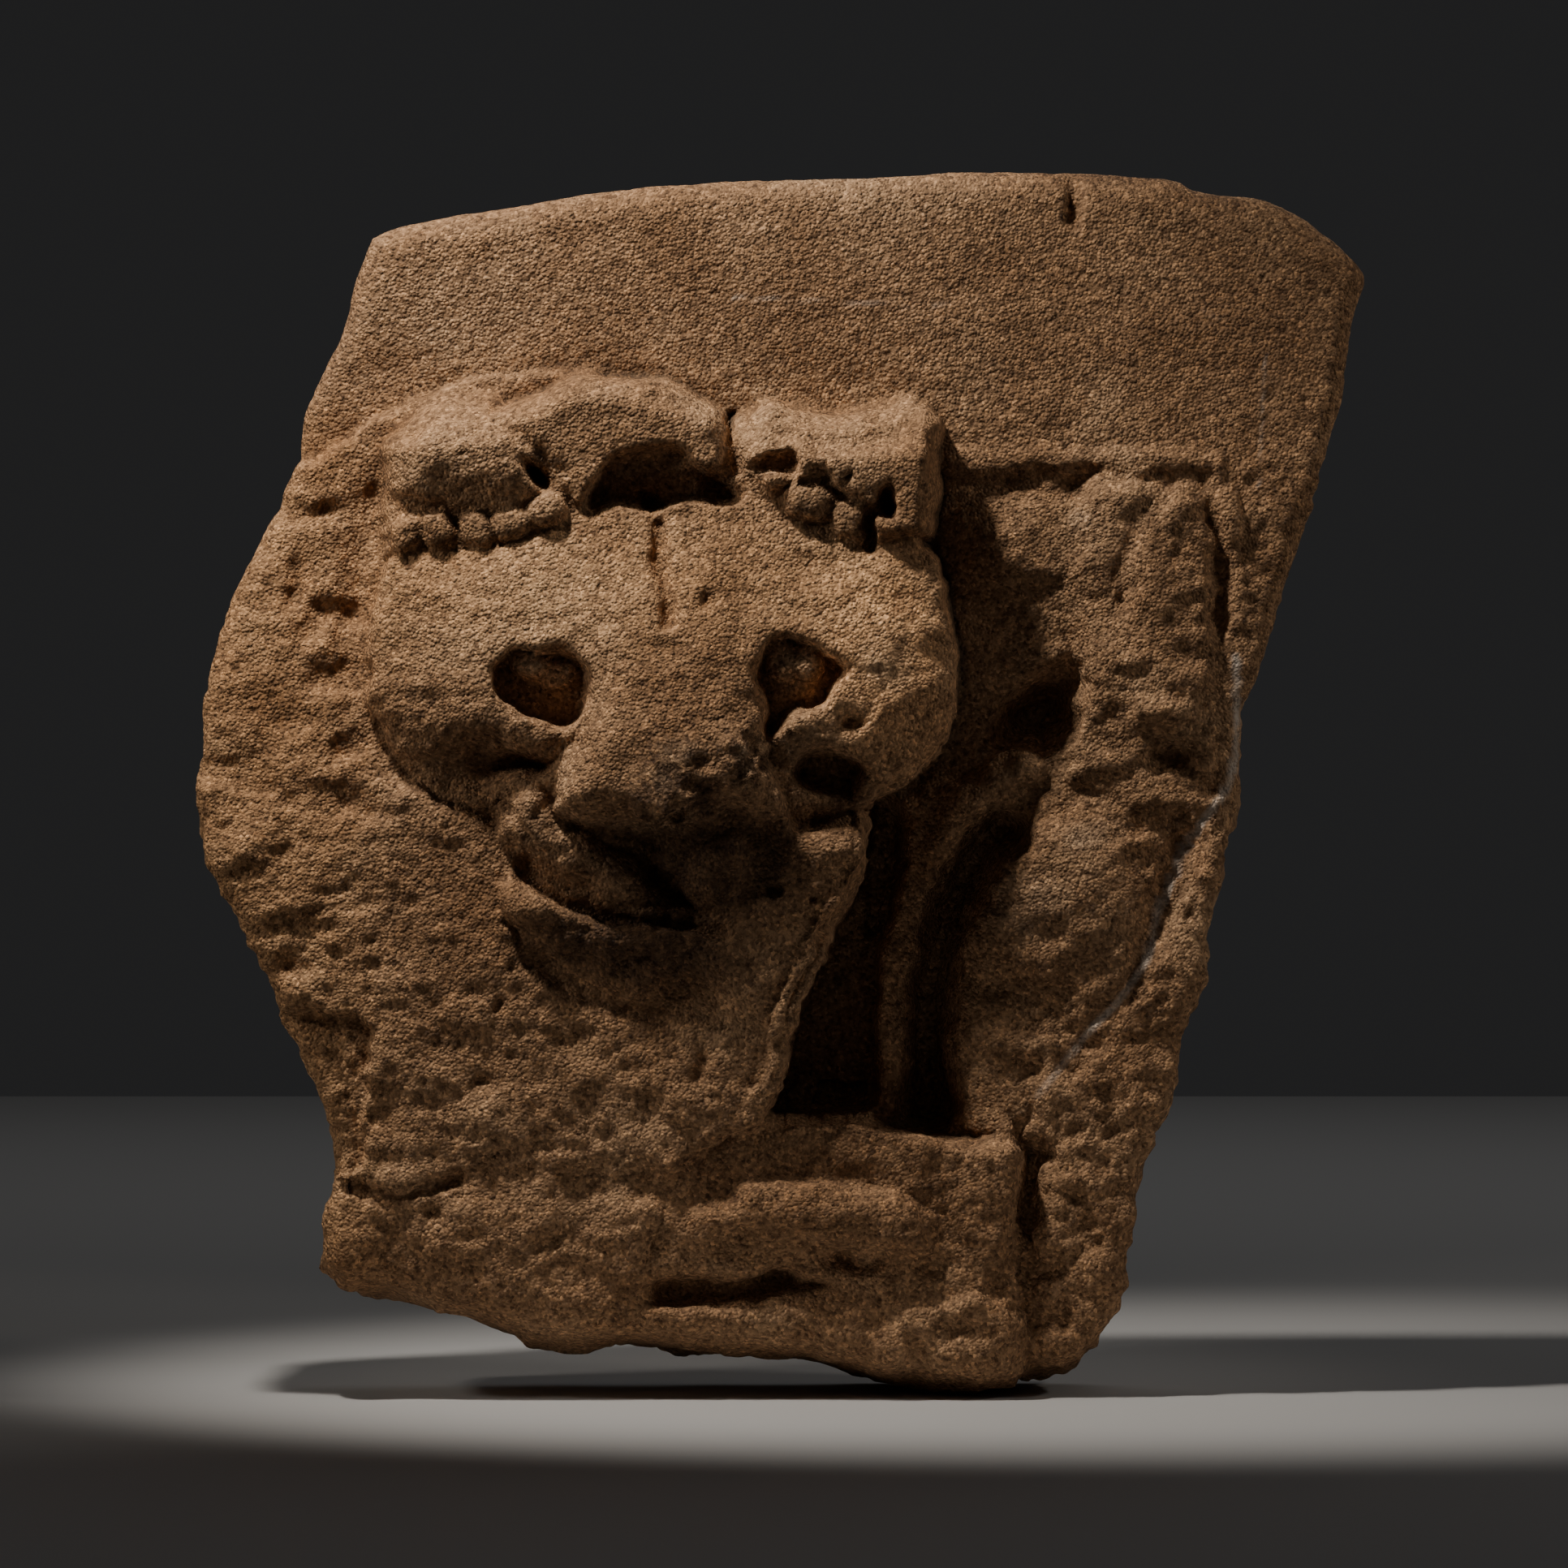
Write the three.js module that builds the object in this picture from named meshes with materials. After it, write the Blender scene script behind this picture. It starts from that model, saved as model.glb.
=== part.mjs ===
import * as THREE from 'three';

// A stone relief panel, carved in one piece with the slab behind it.
// Millimetres: x runs right and z up on the panel as it is seen from the front.
// The flat back lies in the plane y = 0, so the carved face looks towards -y.

// Driving sizes
const PANEL_WIDTH = 459.5;
const PANEL_HEIGHT = 483.5;
const SLAB_THICKNESS = 74;
const NOSE_PROJECTION = 55;
const EDGE_ROUNDING = 8;
const TOP_EDGE_ROUNDING = 12;
const TOP_EDGE_FROM = 150;
const TOP_EDGE_FULL = 230;
const BROKEN_FOOT_RUN = 17;
const BROKEN_FOOT_DROP = 52;
const BROKEN_FOOT_BLEND = 0.07;

// Facets: cells across and up the carved face, and steps round its edge.
// The carving is softened to what such facets can follow before they are laid over it.
const CELLS = 62;
const EDGE_STEPS = 2;
const SAMPLE_SPACING = 2.5;
const SOFTENING_ROUNDS = 3;
const SETTLING_ROUNDS = 60;

const STONE = new THREE.MeshStandardMaterial({ color: 0x9a7858, roughness: 0.94, metalness: 0 });

// The carving is drawn at full size on a sheet, with heights from the face of the plain band.
// These are the sheet's own width, height and highest point.
const SHEET = { width: 459.5, height: 483.5, projection: 55 };

// Worn and broken outline of the slab on the sheet, side by side
const OUTLINE = {
  top: [[-163, 216], [-150, 221], [-114, 227.5], [-69, 234.6], [-24, 238], [43, 240.5], [100, 242],
    [150, 239.5], [163, 234.5], [185, 232.5], [200, 227], [214, 217], [226, 206]],
  right: [[226, 206], [229.5, 199], [225, 182], [218, 143], [210, 120], [205, 101], [193.5, 66],
    [180, 24], [178.5, -2], [171, -49], [161, -88], [150.5, -126], [139.5, -162], [131, -206], [121, -226]],
  bottom: [[-182, -190], [-173, -200], [-156, -203.5], [-136, -210], [-108, -217.5], [-99, -222],
    [-80, -224], [-62, -222], [-35, -226.5], [-5, -228], [22, -232], [45, -239], [72, -241.5],
    [88, -238.5], [108, -234], [121, -226]],
  left: [[-163, 216], [-169, 200], [-174, 180], [-183, 161], [-190, 144], [-193, 122], [-206, 95],
    [-219, 66], [-228, 28], [-230, -5], [-226, -28], [-215, -49], [-201, -78], [-198, -89],
    [-184, -118], [-178, -133], [-177, -150], [-179, -172], [-182, -190]],
};

// Each step of the carving names its tool; the tools are the functions in TOOLS below.
// Outlines and paths are points on the sheet, sizes are half widths, turns are in degrees.

// Sunk field on the right with the worn seated figure in it
const FIELD = [
  { tool: 'level', outline: [[58, 131], [110, 132], [168, 129.5], [179, 125], [182, 110], [182, 70],
    [180, 45], [176, 18], [172, -5], [160, -24], [149, -50], [141, -72], [128, -90], [112, -108],
    [100, -130], [97, -150], [94, -180], [96, -245], [-60, -245], [-60, -150], [-30, -140], [0, -100],
    [20, 0], [40, 110]], tos: [[130, -1.5], [112, -3], [80, -5]], soft: [-1, 3] },
  // fillet that frames the field
  { tool: 'ridge', path: [[56, 127], [90, 127.5], [158, 126.5], [170, 123], [175, 112], [177, 90],
    [178.5, 65], [177, 45], [174, 25]], top: 2.5, fall: 0.1, join: 3 },
  // wall between the head and the figure
  { tool: 'level', outline: [[40, 118], [72, 112], [108, 95], [116, 70], [106, 40], [84, 16], [60, 0],
    [30, 0], [20, 60]], to: -5, lean: [0.12, 0.08], about: [84, 60], soft: [-9, 9] },
  // block under the fillet
  { tool: 'dome', at: [97, 97], size: [30, 19], turn: -6, squareness: 2.4, foot: -8, rise: 10, flatness: 2,
    join: 8 },
  // rough upper body of the figure
  { tool: 'level', outline: [[120, 116], [140, 119], [160, 118], [169, 108], [170.5, 70], [172, 35],
    [173, 4], [160, -2], [138, -2], [124, 10], [120, 40], [116, 70], [114, 95]], to: 5, soft: [-6, 6] },
  { tool: 'bump', at: [146, 60], size: [30, 74], rise: 5 },
  { tool: 'bump', at: [148, 28], size: [28, 9], turn: 2, rise: 5 },
  { tool: 'pit', at: [153, 9], size: [16, 12], squareness: 2.4, floor: 0.1, depth: 10 },
  // thigh and shin
  { tool: 'level', outline: [[102, -9], [122, -10], [150, -14], [168, -6], [160, -22], [149, -50],
    [141, -72], [128, -92], [116, -112], [100, -128], [92, -145], [72, -141], [66, -125], [65, -90],
    [68, -62], [76, -42], [88, -22]], to: 6, soft: [-9, 10] },
  { tool: 'bump', at: [114, -46], size: [50, 74], turn: 20, rise: 11 },
  { tool: 'level', outline: [[118, 44], [130, 40], [140, 10], [160, 0], [168, -6], [150, -16], [102, -14],
    [108, 8]], to: 6, soft: [-9, 8] },
  // hole behind the elbow, and the forearm that runs down from it between two channels
  { tool: 'pit', at: [101, 28], size: [27, 17], turn: 47, squareness: 2.2, floor: 0.15, depth: 28 },
  { tool: 'ridge', path: [[96, 4], [82, -2], [69, -14], [58, -34], [49, -62], [45, -90], [43, -132]],
    tops: [[6, 7], [-16, 4], [-40, -8], [-70, -20], [-110, -26]], fall: 0.13, join: 5 },
  { tool: 'dip', outline: [[26, -4], [40, -4], [50, -16], [47, -40], [41, -62], [38, -90], [37, -126],
    [20, -132], [-8, -131], [-8, -112], [0, -88], [8, -66], [18, -45], [24, -20]], depth: 36,
    soft: [-1, 7] },
  { tool: 'groove', path: [[86, -18], [74, -34], [63, -58], [58, -84], [57, -108], [57, -130]], width: 12,
    flat: 2, depth: 30 },
  { tool: 'floor', at: -42 },
];

// Broad ground on the left, with its arched upper edge
const GROUND = [
  { tool: 'level', outline: [[-215, 96], [-197, 113], [-180, 131], [-160, 146], [-140, 155.5], [-115, 161],
    [-80, 163], [-45, 159], [-27, 149], [-15, 130], [10, 60], [29, -8], [30, -24], [24, -43], [11.5, -66],
    [4, -88], [-2, -112], [-13, -131], [-28, -146], [-42, -160], [-50, -180], [-53, -215], [-56, -262],
    [-262, -262], [-262, 60]], tos: [[160, 4], [100, 9], [60, 17], [20, 25], [-20, 30], [-60, 32],
    [-120, 31], [-170, 28.5], [-220, 25]], soft: [-1, 3] },
  { tool: 'ridge', path: [[14, -66], [4, -88], [-4, -112], [-16, -134]], top: 32, fall: 0.16, join: 4 },
  // broken lower corner and ledges at the left edge
  { tool: 'dip', outline: [[-260, -86], [-198, -87], [-182, -88], [-168, -91], [-160, -100], [-165, -130],
    [-172, -155], [-260, -160]], depth: 5, soft: [-1, 3] },
  { tool: 'dip', outline: [[-250, 0], [-212, -2], [-196, -10], [-205, -30], [-250, -36]], depth: -2.5,
    soft: [-3, 3] },
];

// Foot of the figure, the slot under it, the plinth and the groove beside them
const PEDESTAL = [
  { tool: 'level', outline: [[-40, -151], [-16, -139], [2, -130], [25, -129], [46, -135], [60, -138],
    [78, -140], [94, -142], [96, -170], [93, -236], [-55, -236], [-59, -200], [-53, -168]], to: 22,
    lean: [-0.05, 0.02], about: [20, -150], soft: [-2, 6] },
  { tool: 'mound', outline: [[-48, -190], [-46, -174], [-34, -162], [-12, -154], [18, -153], [44, -158],
    [62, -168], [68, -180], [64, -194], [40, -193], [14, -192], [-20, -192], [-40, -192]], foot: 15,
    rises: [[-155, 17], [-175, 14], [-190, 11]], shoulder: 26, join: 4 },
  { tool: 'level', outline: [[93, -143], [95, -240], [30, -240], [34, -204], [50, -190], [66, -172],
    [74, -150]], to: 22, soft: [-6, 12], share: 0.7 },
  { tool: 'dip', outline: [[-54, -194], [-30, -193], [8, -192.5], [28, -193], [46, -196], [36, -200],
    [14, -203], [-20, -205], [-54, -205]], depth: 12, soft: [-2, 5] },
  { tool: 'level', outline: [[-60, -210], [-38, -206.5], [0, -204.5], [50, -203], [92, -204], [93, -250],
    [-60, -250]], to: 25, soft: [-2, 4] },
  { tool: 'level', outline: [[98, -120], [116, -110], [142, -70], [160, -24], [175, 0], [190, 20],
    [200, -150], [150, -260], [98, -260]], to: 12, soft: [-6, 8], share: 0.85 },
  { tool: 'groove', path: [[98, -147], [97, -160], [93.5, -180], [95, -205], [94.5, -222], [94, -240]],
    width: 8, depth: 7, flat: 0 },
];

// Animal head: skull, cheeks, muzzle, pads beside it, jaw, open mouth, eye sockets and grooves
const HEAD = [
  { tool: 'skull', at: [-48, 38], width: 115.5, above: 88, below: 62, squareness: [2.7, 2.15], foot: 23,
    rises: [[-20, 12], [8, 17], [24, 21.5], [38, 22.5], [60, 20], [80, 14], [100, 6], [112, 2]],
    flatness: [[-10, 5], [5, 3.4], [20, 2.6], [50, 2.3]] },
  // underside of the left cheek
  { tool: 'level', outline: [[-157, 11], [-146, 14], [-130, 18], [-112, 16], [-91, 10.5], [-89, 8],
    [-97, 3], [-108, 0], [-116, -6], [-128, -6], [-141, -3], [-152, 3]], to: 27, lean: [0.05, 0.45],
    about: [-125, 6], soft: [-3, 9] },
  { tool: 'ridge', path: [[-118, 19.5], [-106, 18.5], [-92, 15.5]], top: 38, fall: 0.3, join: 3 },
  // muzzle, broad and round, down to the lower edge of the nose
  { tool: 'mound', outline: [[-70, 80], [-46, 88], [-22, 80], [-14, 56], [-9, 36], [-5, 16], [-2, 0],
    [2, -14], [2, -30], [-6, -44], [-18, -52], [-30, -48], [-38, -39], [-47, -29], [-54, -21.5],
    [-66, -17.5], [-80, -15.5], [-89, -13], [-91, -6], [-88, 5], [-83, 15], [-79, 30], [-77, 46]], foot: 34,
    rises: [[84, 2], [66, 9], [45, 15], [22, 20], [6, 21], [-4, 21.5], [-10, 21], [-24, 14], [-50, 6]],
    shoulder: 18, join: 5 },
  // upper lip on the left, hollowed under the nose
  { tool: 'mound', outline: [[-94, 2], [-86, -10], [-72, -15], [-58, -18], [-46, -28], [-36, -42],
    [-32, -52], [-44, -53], [-60, -52.5], [-72, -51], [-82, -47], [-92, -40], [-101, -34], [-109, -28],
    [-113.5, -19], [-114, -9], [-110, -2], [-102, 3]], foot: 24, rises: [[0, 18], [-20, 15], [-50, 10]],
    shoulder: 15, join: 3 },
  { tool: 'sink', outline: [[-88, -13.5], [-80, -16], [-66, -18], [-54, -22], [-47, -29.5], [-39, -39],
    [-33, -47], [-34, -52], [-44, -50], [-54, -44], [-62, -37], [-70, -31], [-77, -25], [-83, -19]], to: 26,
    soft: [-2, 8] },
  // jaw and chin
  { tool: 'mound', outline: [[-105, -34], [-108, -42], [-106, -52], [-99, -62], [-89, -71], [-78, -77.5],
    [-64, -82], [-48, -86], [-28, -89], [-10, -88], [2, -78], [4, -62], [-8, -52], [-30, -50], [-50, -48],
    [-64, -48], [-76, -45], [-88, -38], [-98, -33]], foot: 27, rises: [[-34, 14], [-60, 16], [-90, 9]],
    shoulder: 18, join: 4 },
  // right side of the muzzle, worn to a slope, and its edge that runs on down into the chest
  { tool: 'level', outline: [[-16, -4], [0, -11], [13, -18], [27, -14], [31, -22], [30, -34], [26, -43],
    [19, -54], [13, -66], [6, -80], [-2, -92], [-18, -92], [-30, -80], [-32, -62], [-28, -52], [-34, -42],
    [-36, -28], [-28, -12]], to: 38, lean: [-0.2, 0.12], about: [0, -30], soft: [-2, 9], share: 0.9 },
  { tool: 'ridge', path: [[30, -12], [29.5, -22], [27, -32], [23, -41], [17, -50], [11, -61], [5, -74],
    [0, -86], [-3, -98], [-6, -112], [-15, -130]], tops: [[-12, 33], [-24, 35], [-40, 37], [-60, 38],
    [-86, 36], [-112, 34], [-132, 31]], fall: 0.9, join: 4 },
  // mouth between them
  { tool: 'groove', path: [[-107, -31], [-102, -34], [-95, -40], [-84, -47.5], [-70, -52.5], [-50, -53.5],
    [-30, -57], [-18, -60]], width: 5, depth: 9, flat: 0.5 },
  // left eye, then right eye
  { tool: 'dip', outline: [[-115, 44], [-111, 49], [-106, 52.5], [-97, 53.5], [-88, 53], [-80, 49],
    [-75.5, 43], [-76, 36], [-78, 27], [-83, 21.5], [-90, 20.5], [-97, 23], [-106, 27.5], [-112, 33]],
    depth: 14, soft: [-1, 4] },
  { tool: 'dome', at: [-96, 45], size: [14, 9], turn: -8, foot: 31, rise: 7, flatness: 3, join: 4 },
  { tool: 'dip', outline: [[-12.5, 44], [-11, 50], [-7, 54.5], [1, 57.5], [9, 55.5], [15, 52], [25.5, 45],
    [21, 38], [18, 32], [11, 27.5], [3, 24], [-3, 18], [-6, 16], [-8.5, 22], [-10, 32]], depth: 14,
    soft: [-1, 4] },
  { tool: 'dome', at: [4, 44], size: [10.5, 12], foot: 31, rise: 8.5, flatness: 3, join: 4 },
  // hollows in the cheeks
  { tool: 'pit', at: [-102, 8.5], size: [17, 7], turn: -10, floor: 0.1, depth: 10 },
  { tool: 'dip', outline: [[3, 6], [6, 12], [12, 14.5], [20, 15.5], [27, 12.5], [31, 6], [30.5, -3],
    [27, -7], [20, -6.5], [13, -5], [7, -1]], depth: 17, soft: [-1, 5] },
  { tool: 'dip', outline: [[8, -2], [20, -4], [28, -6], [27, -15], [18, -17], [10, -14]], depth: 2,
    soft: [-4, 5] },
  { tool: 'groove', path: [[-51, 112], [-49, 98], [-47.5, 80], [-45.5, 62]], width: 5, depth: 5.5,
    flat: 0 },
];

// Paws that rest on the head, with the arch between them
const PAWS = [
  { tool: 'mound', outline: [[-114, 144], [-101, 153], [-84, 159.5], [-62, 161], [-42, 157], [-28, 149.5],
    [-20.5, 142], [-18, 130], [-18, 119], [-26, 117], [-39, 129], [-55, 132.5], [-69, 127.5], [-76, 113],
    [-84, 110], [-91, 118], [-98, 130]], foot: 7, rise: 25, shoulder: 14, join: 4 },
  { tool: 'mound', outline: [[-104, 138], [-98, 147], [-84, 147], [-71, 136], [-73, 120], [-77, 110],
    [-85, 107], [-92, 110], [-97, 120]], foot: 15, rise: 14, shoulder: 12, join: 5 },
  { tool: 'level', outline: [[-76, 111], [-70, 126], [-56, 131.5], [-40, 129], [-27, 119], [-18, 115],
    [-28, 112], [-40, 111], [-52, 107], [-63, 109]], to: 22, lean: [0, 0.38], about: [-50, 121],
    soft: [-1, 2.5] },
  { tool: 'mound', outline: [[-157.5, 121], [-155, 133], [-144, 144], [-131, 149], [-117, 148], [-104, 144],
    [-95, 135], [-90, 124], [-87, 114], [-86, 106], [-92, 100], [-103, 95], [-116, 92.5], [-130, 92],
    [-143, 91.5], [-154, 95], [-157, 106]], foot: 14, rises: [[148, 12], [132, 20], [118, 22], [110, 19.5],
    [104, 19], [98, 21.5], [94, 27]], shoulder: 12, join: 4 },
  { tool: 'mound', outline: [[-16, 138], [-11, 146], [0, 148], [16, 145], [32, 146], [47, 149], [58, 146],
    [61, 134], [60.5, 112], [57, 97], [46, 93], [33, 94], [22, 97], [12, 101], [0, 104], [-9, 112],
    [-17, 124]], foot: 8, rises: [[150, 8], [141, 15], [127, 26], [114, 25], [104, 24], [98, 28], [94, 34]],
    shoulder: 10, join: 5 },
  { tool: 'dip', outline: [[-6, 141], [12, 137], [30, 138], [46, 142], [46, 132], [24, 130], [-2, 133]],
    depth: 3, soft: [-5, 5] },
];

// Holes and deeper slots between the paws and the head
const PAW_HOLLOWS = [
  { tool: 'pit', at: [-97, 121], size: [10.5, 4.5], turn: -35, floor: 0.1, depth: 12 },
  { tool: 'pit', at: [-4, 125], size: [11, 6], turn: 10, floor: 0.2, depth: 12 },
  { tool: 'pit', at: [41, 111], size: [4.5, 9], floor: 0.3, depth: 13 },
  { tool: 'pit', at: [-53, 111], size: [5.5, 5], floor: 0.2, depth: 6 },
  { tool: 'groove', path: [[-20, 143], [-20, 134], [-18, 122]], width: 3, depth: 6 },
];

const CARVING = [
  ...FIELD,
  ...GROUND,
  ...PEDESTAL,
  ...HEAD,
  ...PAWS,
  ...PAW_HOLLOWS,
];

// Small measures that the tools share
const FAR = 30;
const CURVE_STEPS = 3;
const SWELL = 0.58;
const FALL_OUTSIDE = 3;
const SKULL_EDGE = [1.02, 0.99];
const INSIDE_LAST_CELL = 1.001;
const TINY = 1e-9;

const clamp = (value, low, high) => Math.min(Math.max(value, low), high);
const mix = (a, b, share) => a + (b - a) * share;

function smooth(low, high, value) {
  const t = clamp((value - low) / (high - low), 0, 1);
  return t * t * (3 - 2 * t);
}

// The higher of two surfaces, blended over the join
function higher(a, b, join) {
  const t = clamp(0.5 + 0.5 * (a - b) / join, 0, 1);
  return mix(b, a, t) + join * t * (1 - t);
}

// Value read off a list of [z, value] pairs that is straight between them
function readOff(pairs, z) {
  const rows = [...pairs].sort((a, b) => a[0] - b[0]);
  let value = rows[0][1];
  for (let i = 1; i < rows.length; i += 1) {
    const [lowZ, low] = rows[i - 1];
    const [highZ, high] = rows[i];
    value = z > lowZ ? mix(low, high, clamp((z - lowZ) / (highZ - lowZ), 0, 1)) : value;
  }
  return value;
}

// Smooth curve through points on the sheet
function smoothLine(points, closed) {
  const knots = points.map(([x, z]) => new THREE.Vector3(x, 0, z));
  const curve = new THREE.CatmullRomCurve3(knots, closed, 'catmullrom', 0.5);
  return curve.getPoints(CURVE_STEPS * points.length).map((p) => [p.x, p.z]);
}

function distanceToSpan(x, z, [ax, az], [bx, bz]) {
  const ex = bx - ax;
  const ez = bz - az;
  const t = clamp(((x - ax) * ex + (z - az) * ez) / (ex * ex + ez * ez + TINY), 0, 1);
  return Math.hypot(x - ax - t * ex, z - az - t * ez);
}

function distanceToLine(x, z, line) {
  let best = Infinity;
  for (let i = 1; i < line.length; i += 1) {
    best = Math.min(best, distanceToSpan(x, z, line[i - 1], line[i]));
  }
  return best;
}

// How far a place lies inside a closed line, negative outside it
function depthInside(x, z, line) {
  let inside = false;
  for (let i = 1; i < line.length; i += 1) {
    const [ax, az] = line[i - 1];
    const [bx, bz] = line[i];
    const crosses = (az > z) !== (bz > z);
    if (crosses && x < ax + ((z - az) / (bz - az)) * (bx - ax)) {
      inside = !inside;
    }
  }
  const distance = distanceToLine(x, z, line);
  return inside ? distance : -distance;
}

// Radius of a place in a turned oval: 0 in its middle, 1 on its rim
function ovalRadius(x, z, { at, size, turn = 0, squareness = 2 }) {
  const angle = THREE.MathUtils.degToRad(turn);
  const dx = x - at[0];
  const dz = z - at[1];
  const u = (dx * Math.cos(angle) + dz * Math.sin(angle)) / size[0];
  const v = (dz * Math.cos(angle) - dx * Math.sin(angle)) / size[1];
  return (Math.abs(u) ** squareness + Math.abs(v) ** squareness) ** (1 / squareness);
}

// Rounded cap over a radius: 1 in the middle, 0 on the rim, falling on outside
function cap(radius, flatness) {
  return radius < 1 ? Math.sqrt(1 - radius ** flatness) : -FALL_OUTSIDE * (radius - 1);
}

// Each tool takes a place on the sheet, the height there and its own step
const TOOLS = {
  level(x, z, height, { to, tos, lean = [0, 0], about = [0, 0], soft, share = 1, line }) {
    const plain = tos ? readOff(tos, z) : to;
    const target = plain + lean[0] * (x - about[0]) + lean[1] * (z - about[1]);
    return mix(height, target, share * smooth(soft[0], soft[1], depthInside(x, z, line)));
  },
  sink(x, z, height, { to, soft, line }) {
    return mix(height, Math.min(height, to), smooth(soft[0], soft[1], depthInside(x, z, line)));
  },
  dip(x, z, height, { depth, soft, line }) {
    return height - depth * smooth(soft[0], soft[1], depthInside(x, z, line));
  },
  mound(x, z, height, { foot, rise, rises, shoulder, join, line }) {
    const inside = depthInside(x, z, line);
    const top = rises ? readOff(rises, z) : rise;
    const t = clamp(inside / shoulder, 0, 1);
    const swell = inside < 0 ? FALL_OUTSIDE * inside / shoulder : (1 - (1 - t) ** 2) ** SWELL;
    return higher(height, foot + top * swell, join);
  },
  ridge(x, z, height, { top, tops, fall, join, line }) {
    const crest = tops ? readOff(tops, z) : top;
    return higher(height, crest - fall * distanceToLine(x, z, line) ** 2, join);
  },
  groove(x, z, height, { width, depth, flat = 0.5, line }) {
    return height - depth * smooth(width, flat, distanceToLine(x, z, line));
  },
  dome(x, z, height, step) {
    return higher(height, step.foot + step.rise * cap(ovalRadius(x, z, step), step.flatness), step.join);
  },
  bump(x, z, height, step) {
    const radius = Math.min(ovalRadius(x, z, step), 1);
    return height + step.rise * (1 - radius * radius) ** 2;
  },
  pit(x, z, height, step) {
    return height - step.depth * smooth(1, step.floor, ovalRadius(x, z, step));
  },
  skull(x, z, height, { at, width, above, below, squareness, foot, rises, flatness }) {
    const upper = z > at[1];
    const oval = { at, size: [width, upper ? above : below], squareness: squareness[upper ? 0 : 1] };
    const radius = ovalRadius(x, z, oval);
    const target = foot + readOff(rises, z) * cap(radius, readOff(flatness, z));
    return mix(height, target, smooth(SKULL_EDGE[0], SKULL_EDGE[1], radius));
  },
  floor(x, z, height, { at }) {
    return Math.max(height, at);
  },
};

// Smooth line and reach of each step, worked out once
function prepare(step) {
  const closed = Boolean(step.outline);
  const points = step.outline ?? step.path;
  const line = points ? smoothLine(points, closed) : undefined;
  const reach = new THREE.Box2();
  if (line) {
    line.forEach(([x, z]) => reach.expandByPoint(new THREE.Vector2(x, z)));
    reach.expandByScalar(FAR);
  } else if (step.size) {
    const half = Math.max(...step.size) + FAR;
    reach.setFromCenterAndSize(new THREE.Vector2(...step.at), new THREE.Vector2(2 * half, 2 * half));
  } else {
    reach.set(new THREE.Vector2(-Infinity, -Infinity), new THREE.Vector2(Infinity, Infinity));
  }
  return { ...step, line, reach };
}

const STEPS = CARVING.map(prepare);

// Height of the carving over the face of the plain band
function carvedHeight(x, z) {
  let height = 0;
  for (const step of STEPS) {
    const { min, max } = step.reach;
    if (x > min.x && x < max.x && z > min.y && z < max.y) {
      height = TOOLS[step.tool](x, z, height, step);
    }
  }
  return height;
}

// The carving sampled over the whole sheet and softened by averaging with the neighbours
function sampleCarving() {
  const columns = Math.ceil(SHEET.width / SAMPLE_SPACING) + 3;
  const rows = Math.ceil(SHEET.height / SAMPLE_SPACING) + 3;
  const west = -SAMPLE_SPACING * (columns - 1) / 2;
  const south = -SAMPLE_SPACING * (rows - 1) / 2;
  let heights = [];
  for (let row = 0; row < rows; row += 1) {
    for (let column = 0; column < columns; column += 1) {
      heights.push(carvedHeight(west + column * SAMPLE_SPACING, south + row * SAMPLE_SPACING));
    }
  }
  const averaged = (values, step, last, position) => values.map((value, i) => {
    const before = position(i) > 0 ? values[i - step] : value;
    const after = position(i) < last ? values[i + step] : value;
    return (before + 2 * value + after) / 4;
  });
  for (let round = 0; round < SOFTENING_ROUNDS; round += 1) {
    heights = averaged(heights, 1, columns - 1, (i) => i % columns);
    heights = averaged(heights, columns, rows - 1, (i) => Math.floor(i / columns));
  }
  return { heights, columns, rows, west, south };
}

const SAMPLES = sampleCarving();

// Softened height at any place on the sheet
function heightAt(x, z) {
  const { heights, columns, rows, west, south } = SAMPLES;
  const u = clamp((x - west) / SAMPLE_SPACING, 0, columns - INSIDE_LAST_CELL);
  const v = clamp((z - south) / SAMPLE_SPACING, 0, rows - INSIDE_LAST_CELL);
  const [column, row] = [Math.floor(u), Math.floor(v)];
  const at = row * columns + column;
  const low = mix(heights[at], heights[at + 1], u - column);
  const high = mix(heights[at + columns], heights[at + columns + 1], u - column);
  return mix(low, high, v - row);
}

// From the sheet to the panel
const place = (x, z, height) => [
  x * PANEL_WIDTH / SHEET.width,
  -(SLAB_THICKNESS + height * NOSE_PROJECTION / SHEET.projection),
  z * PANEL_HEIGHT / SHEET.height,
];

// Evenly spaced places along one side of the outline
function along(points) {
  const curve = new THREE.SplineCurve(points.map(([x, z]) => new THREE.Vector2(x, z)));
  return curve.getSpacedPoints(CELLS).map((p) => [p.x, p.y]);
}

// Neighbours on each side that give the rim's direction
const DIRECTION_REACH = 2;

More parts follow.
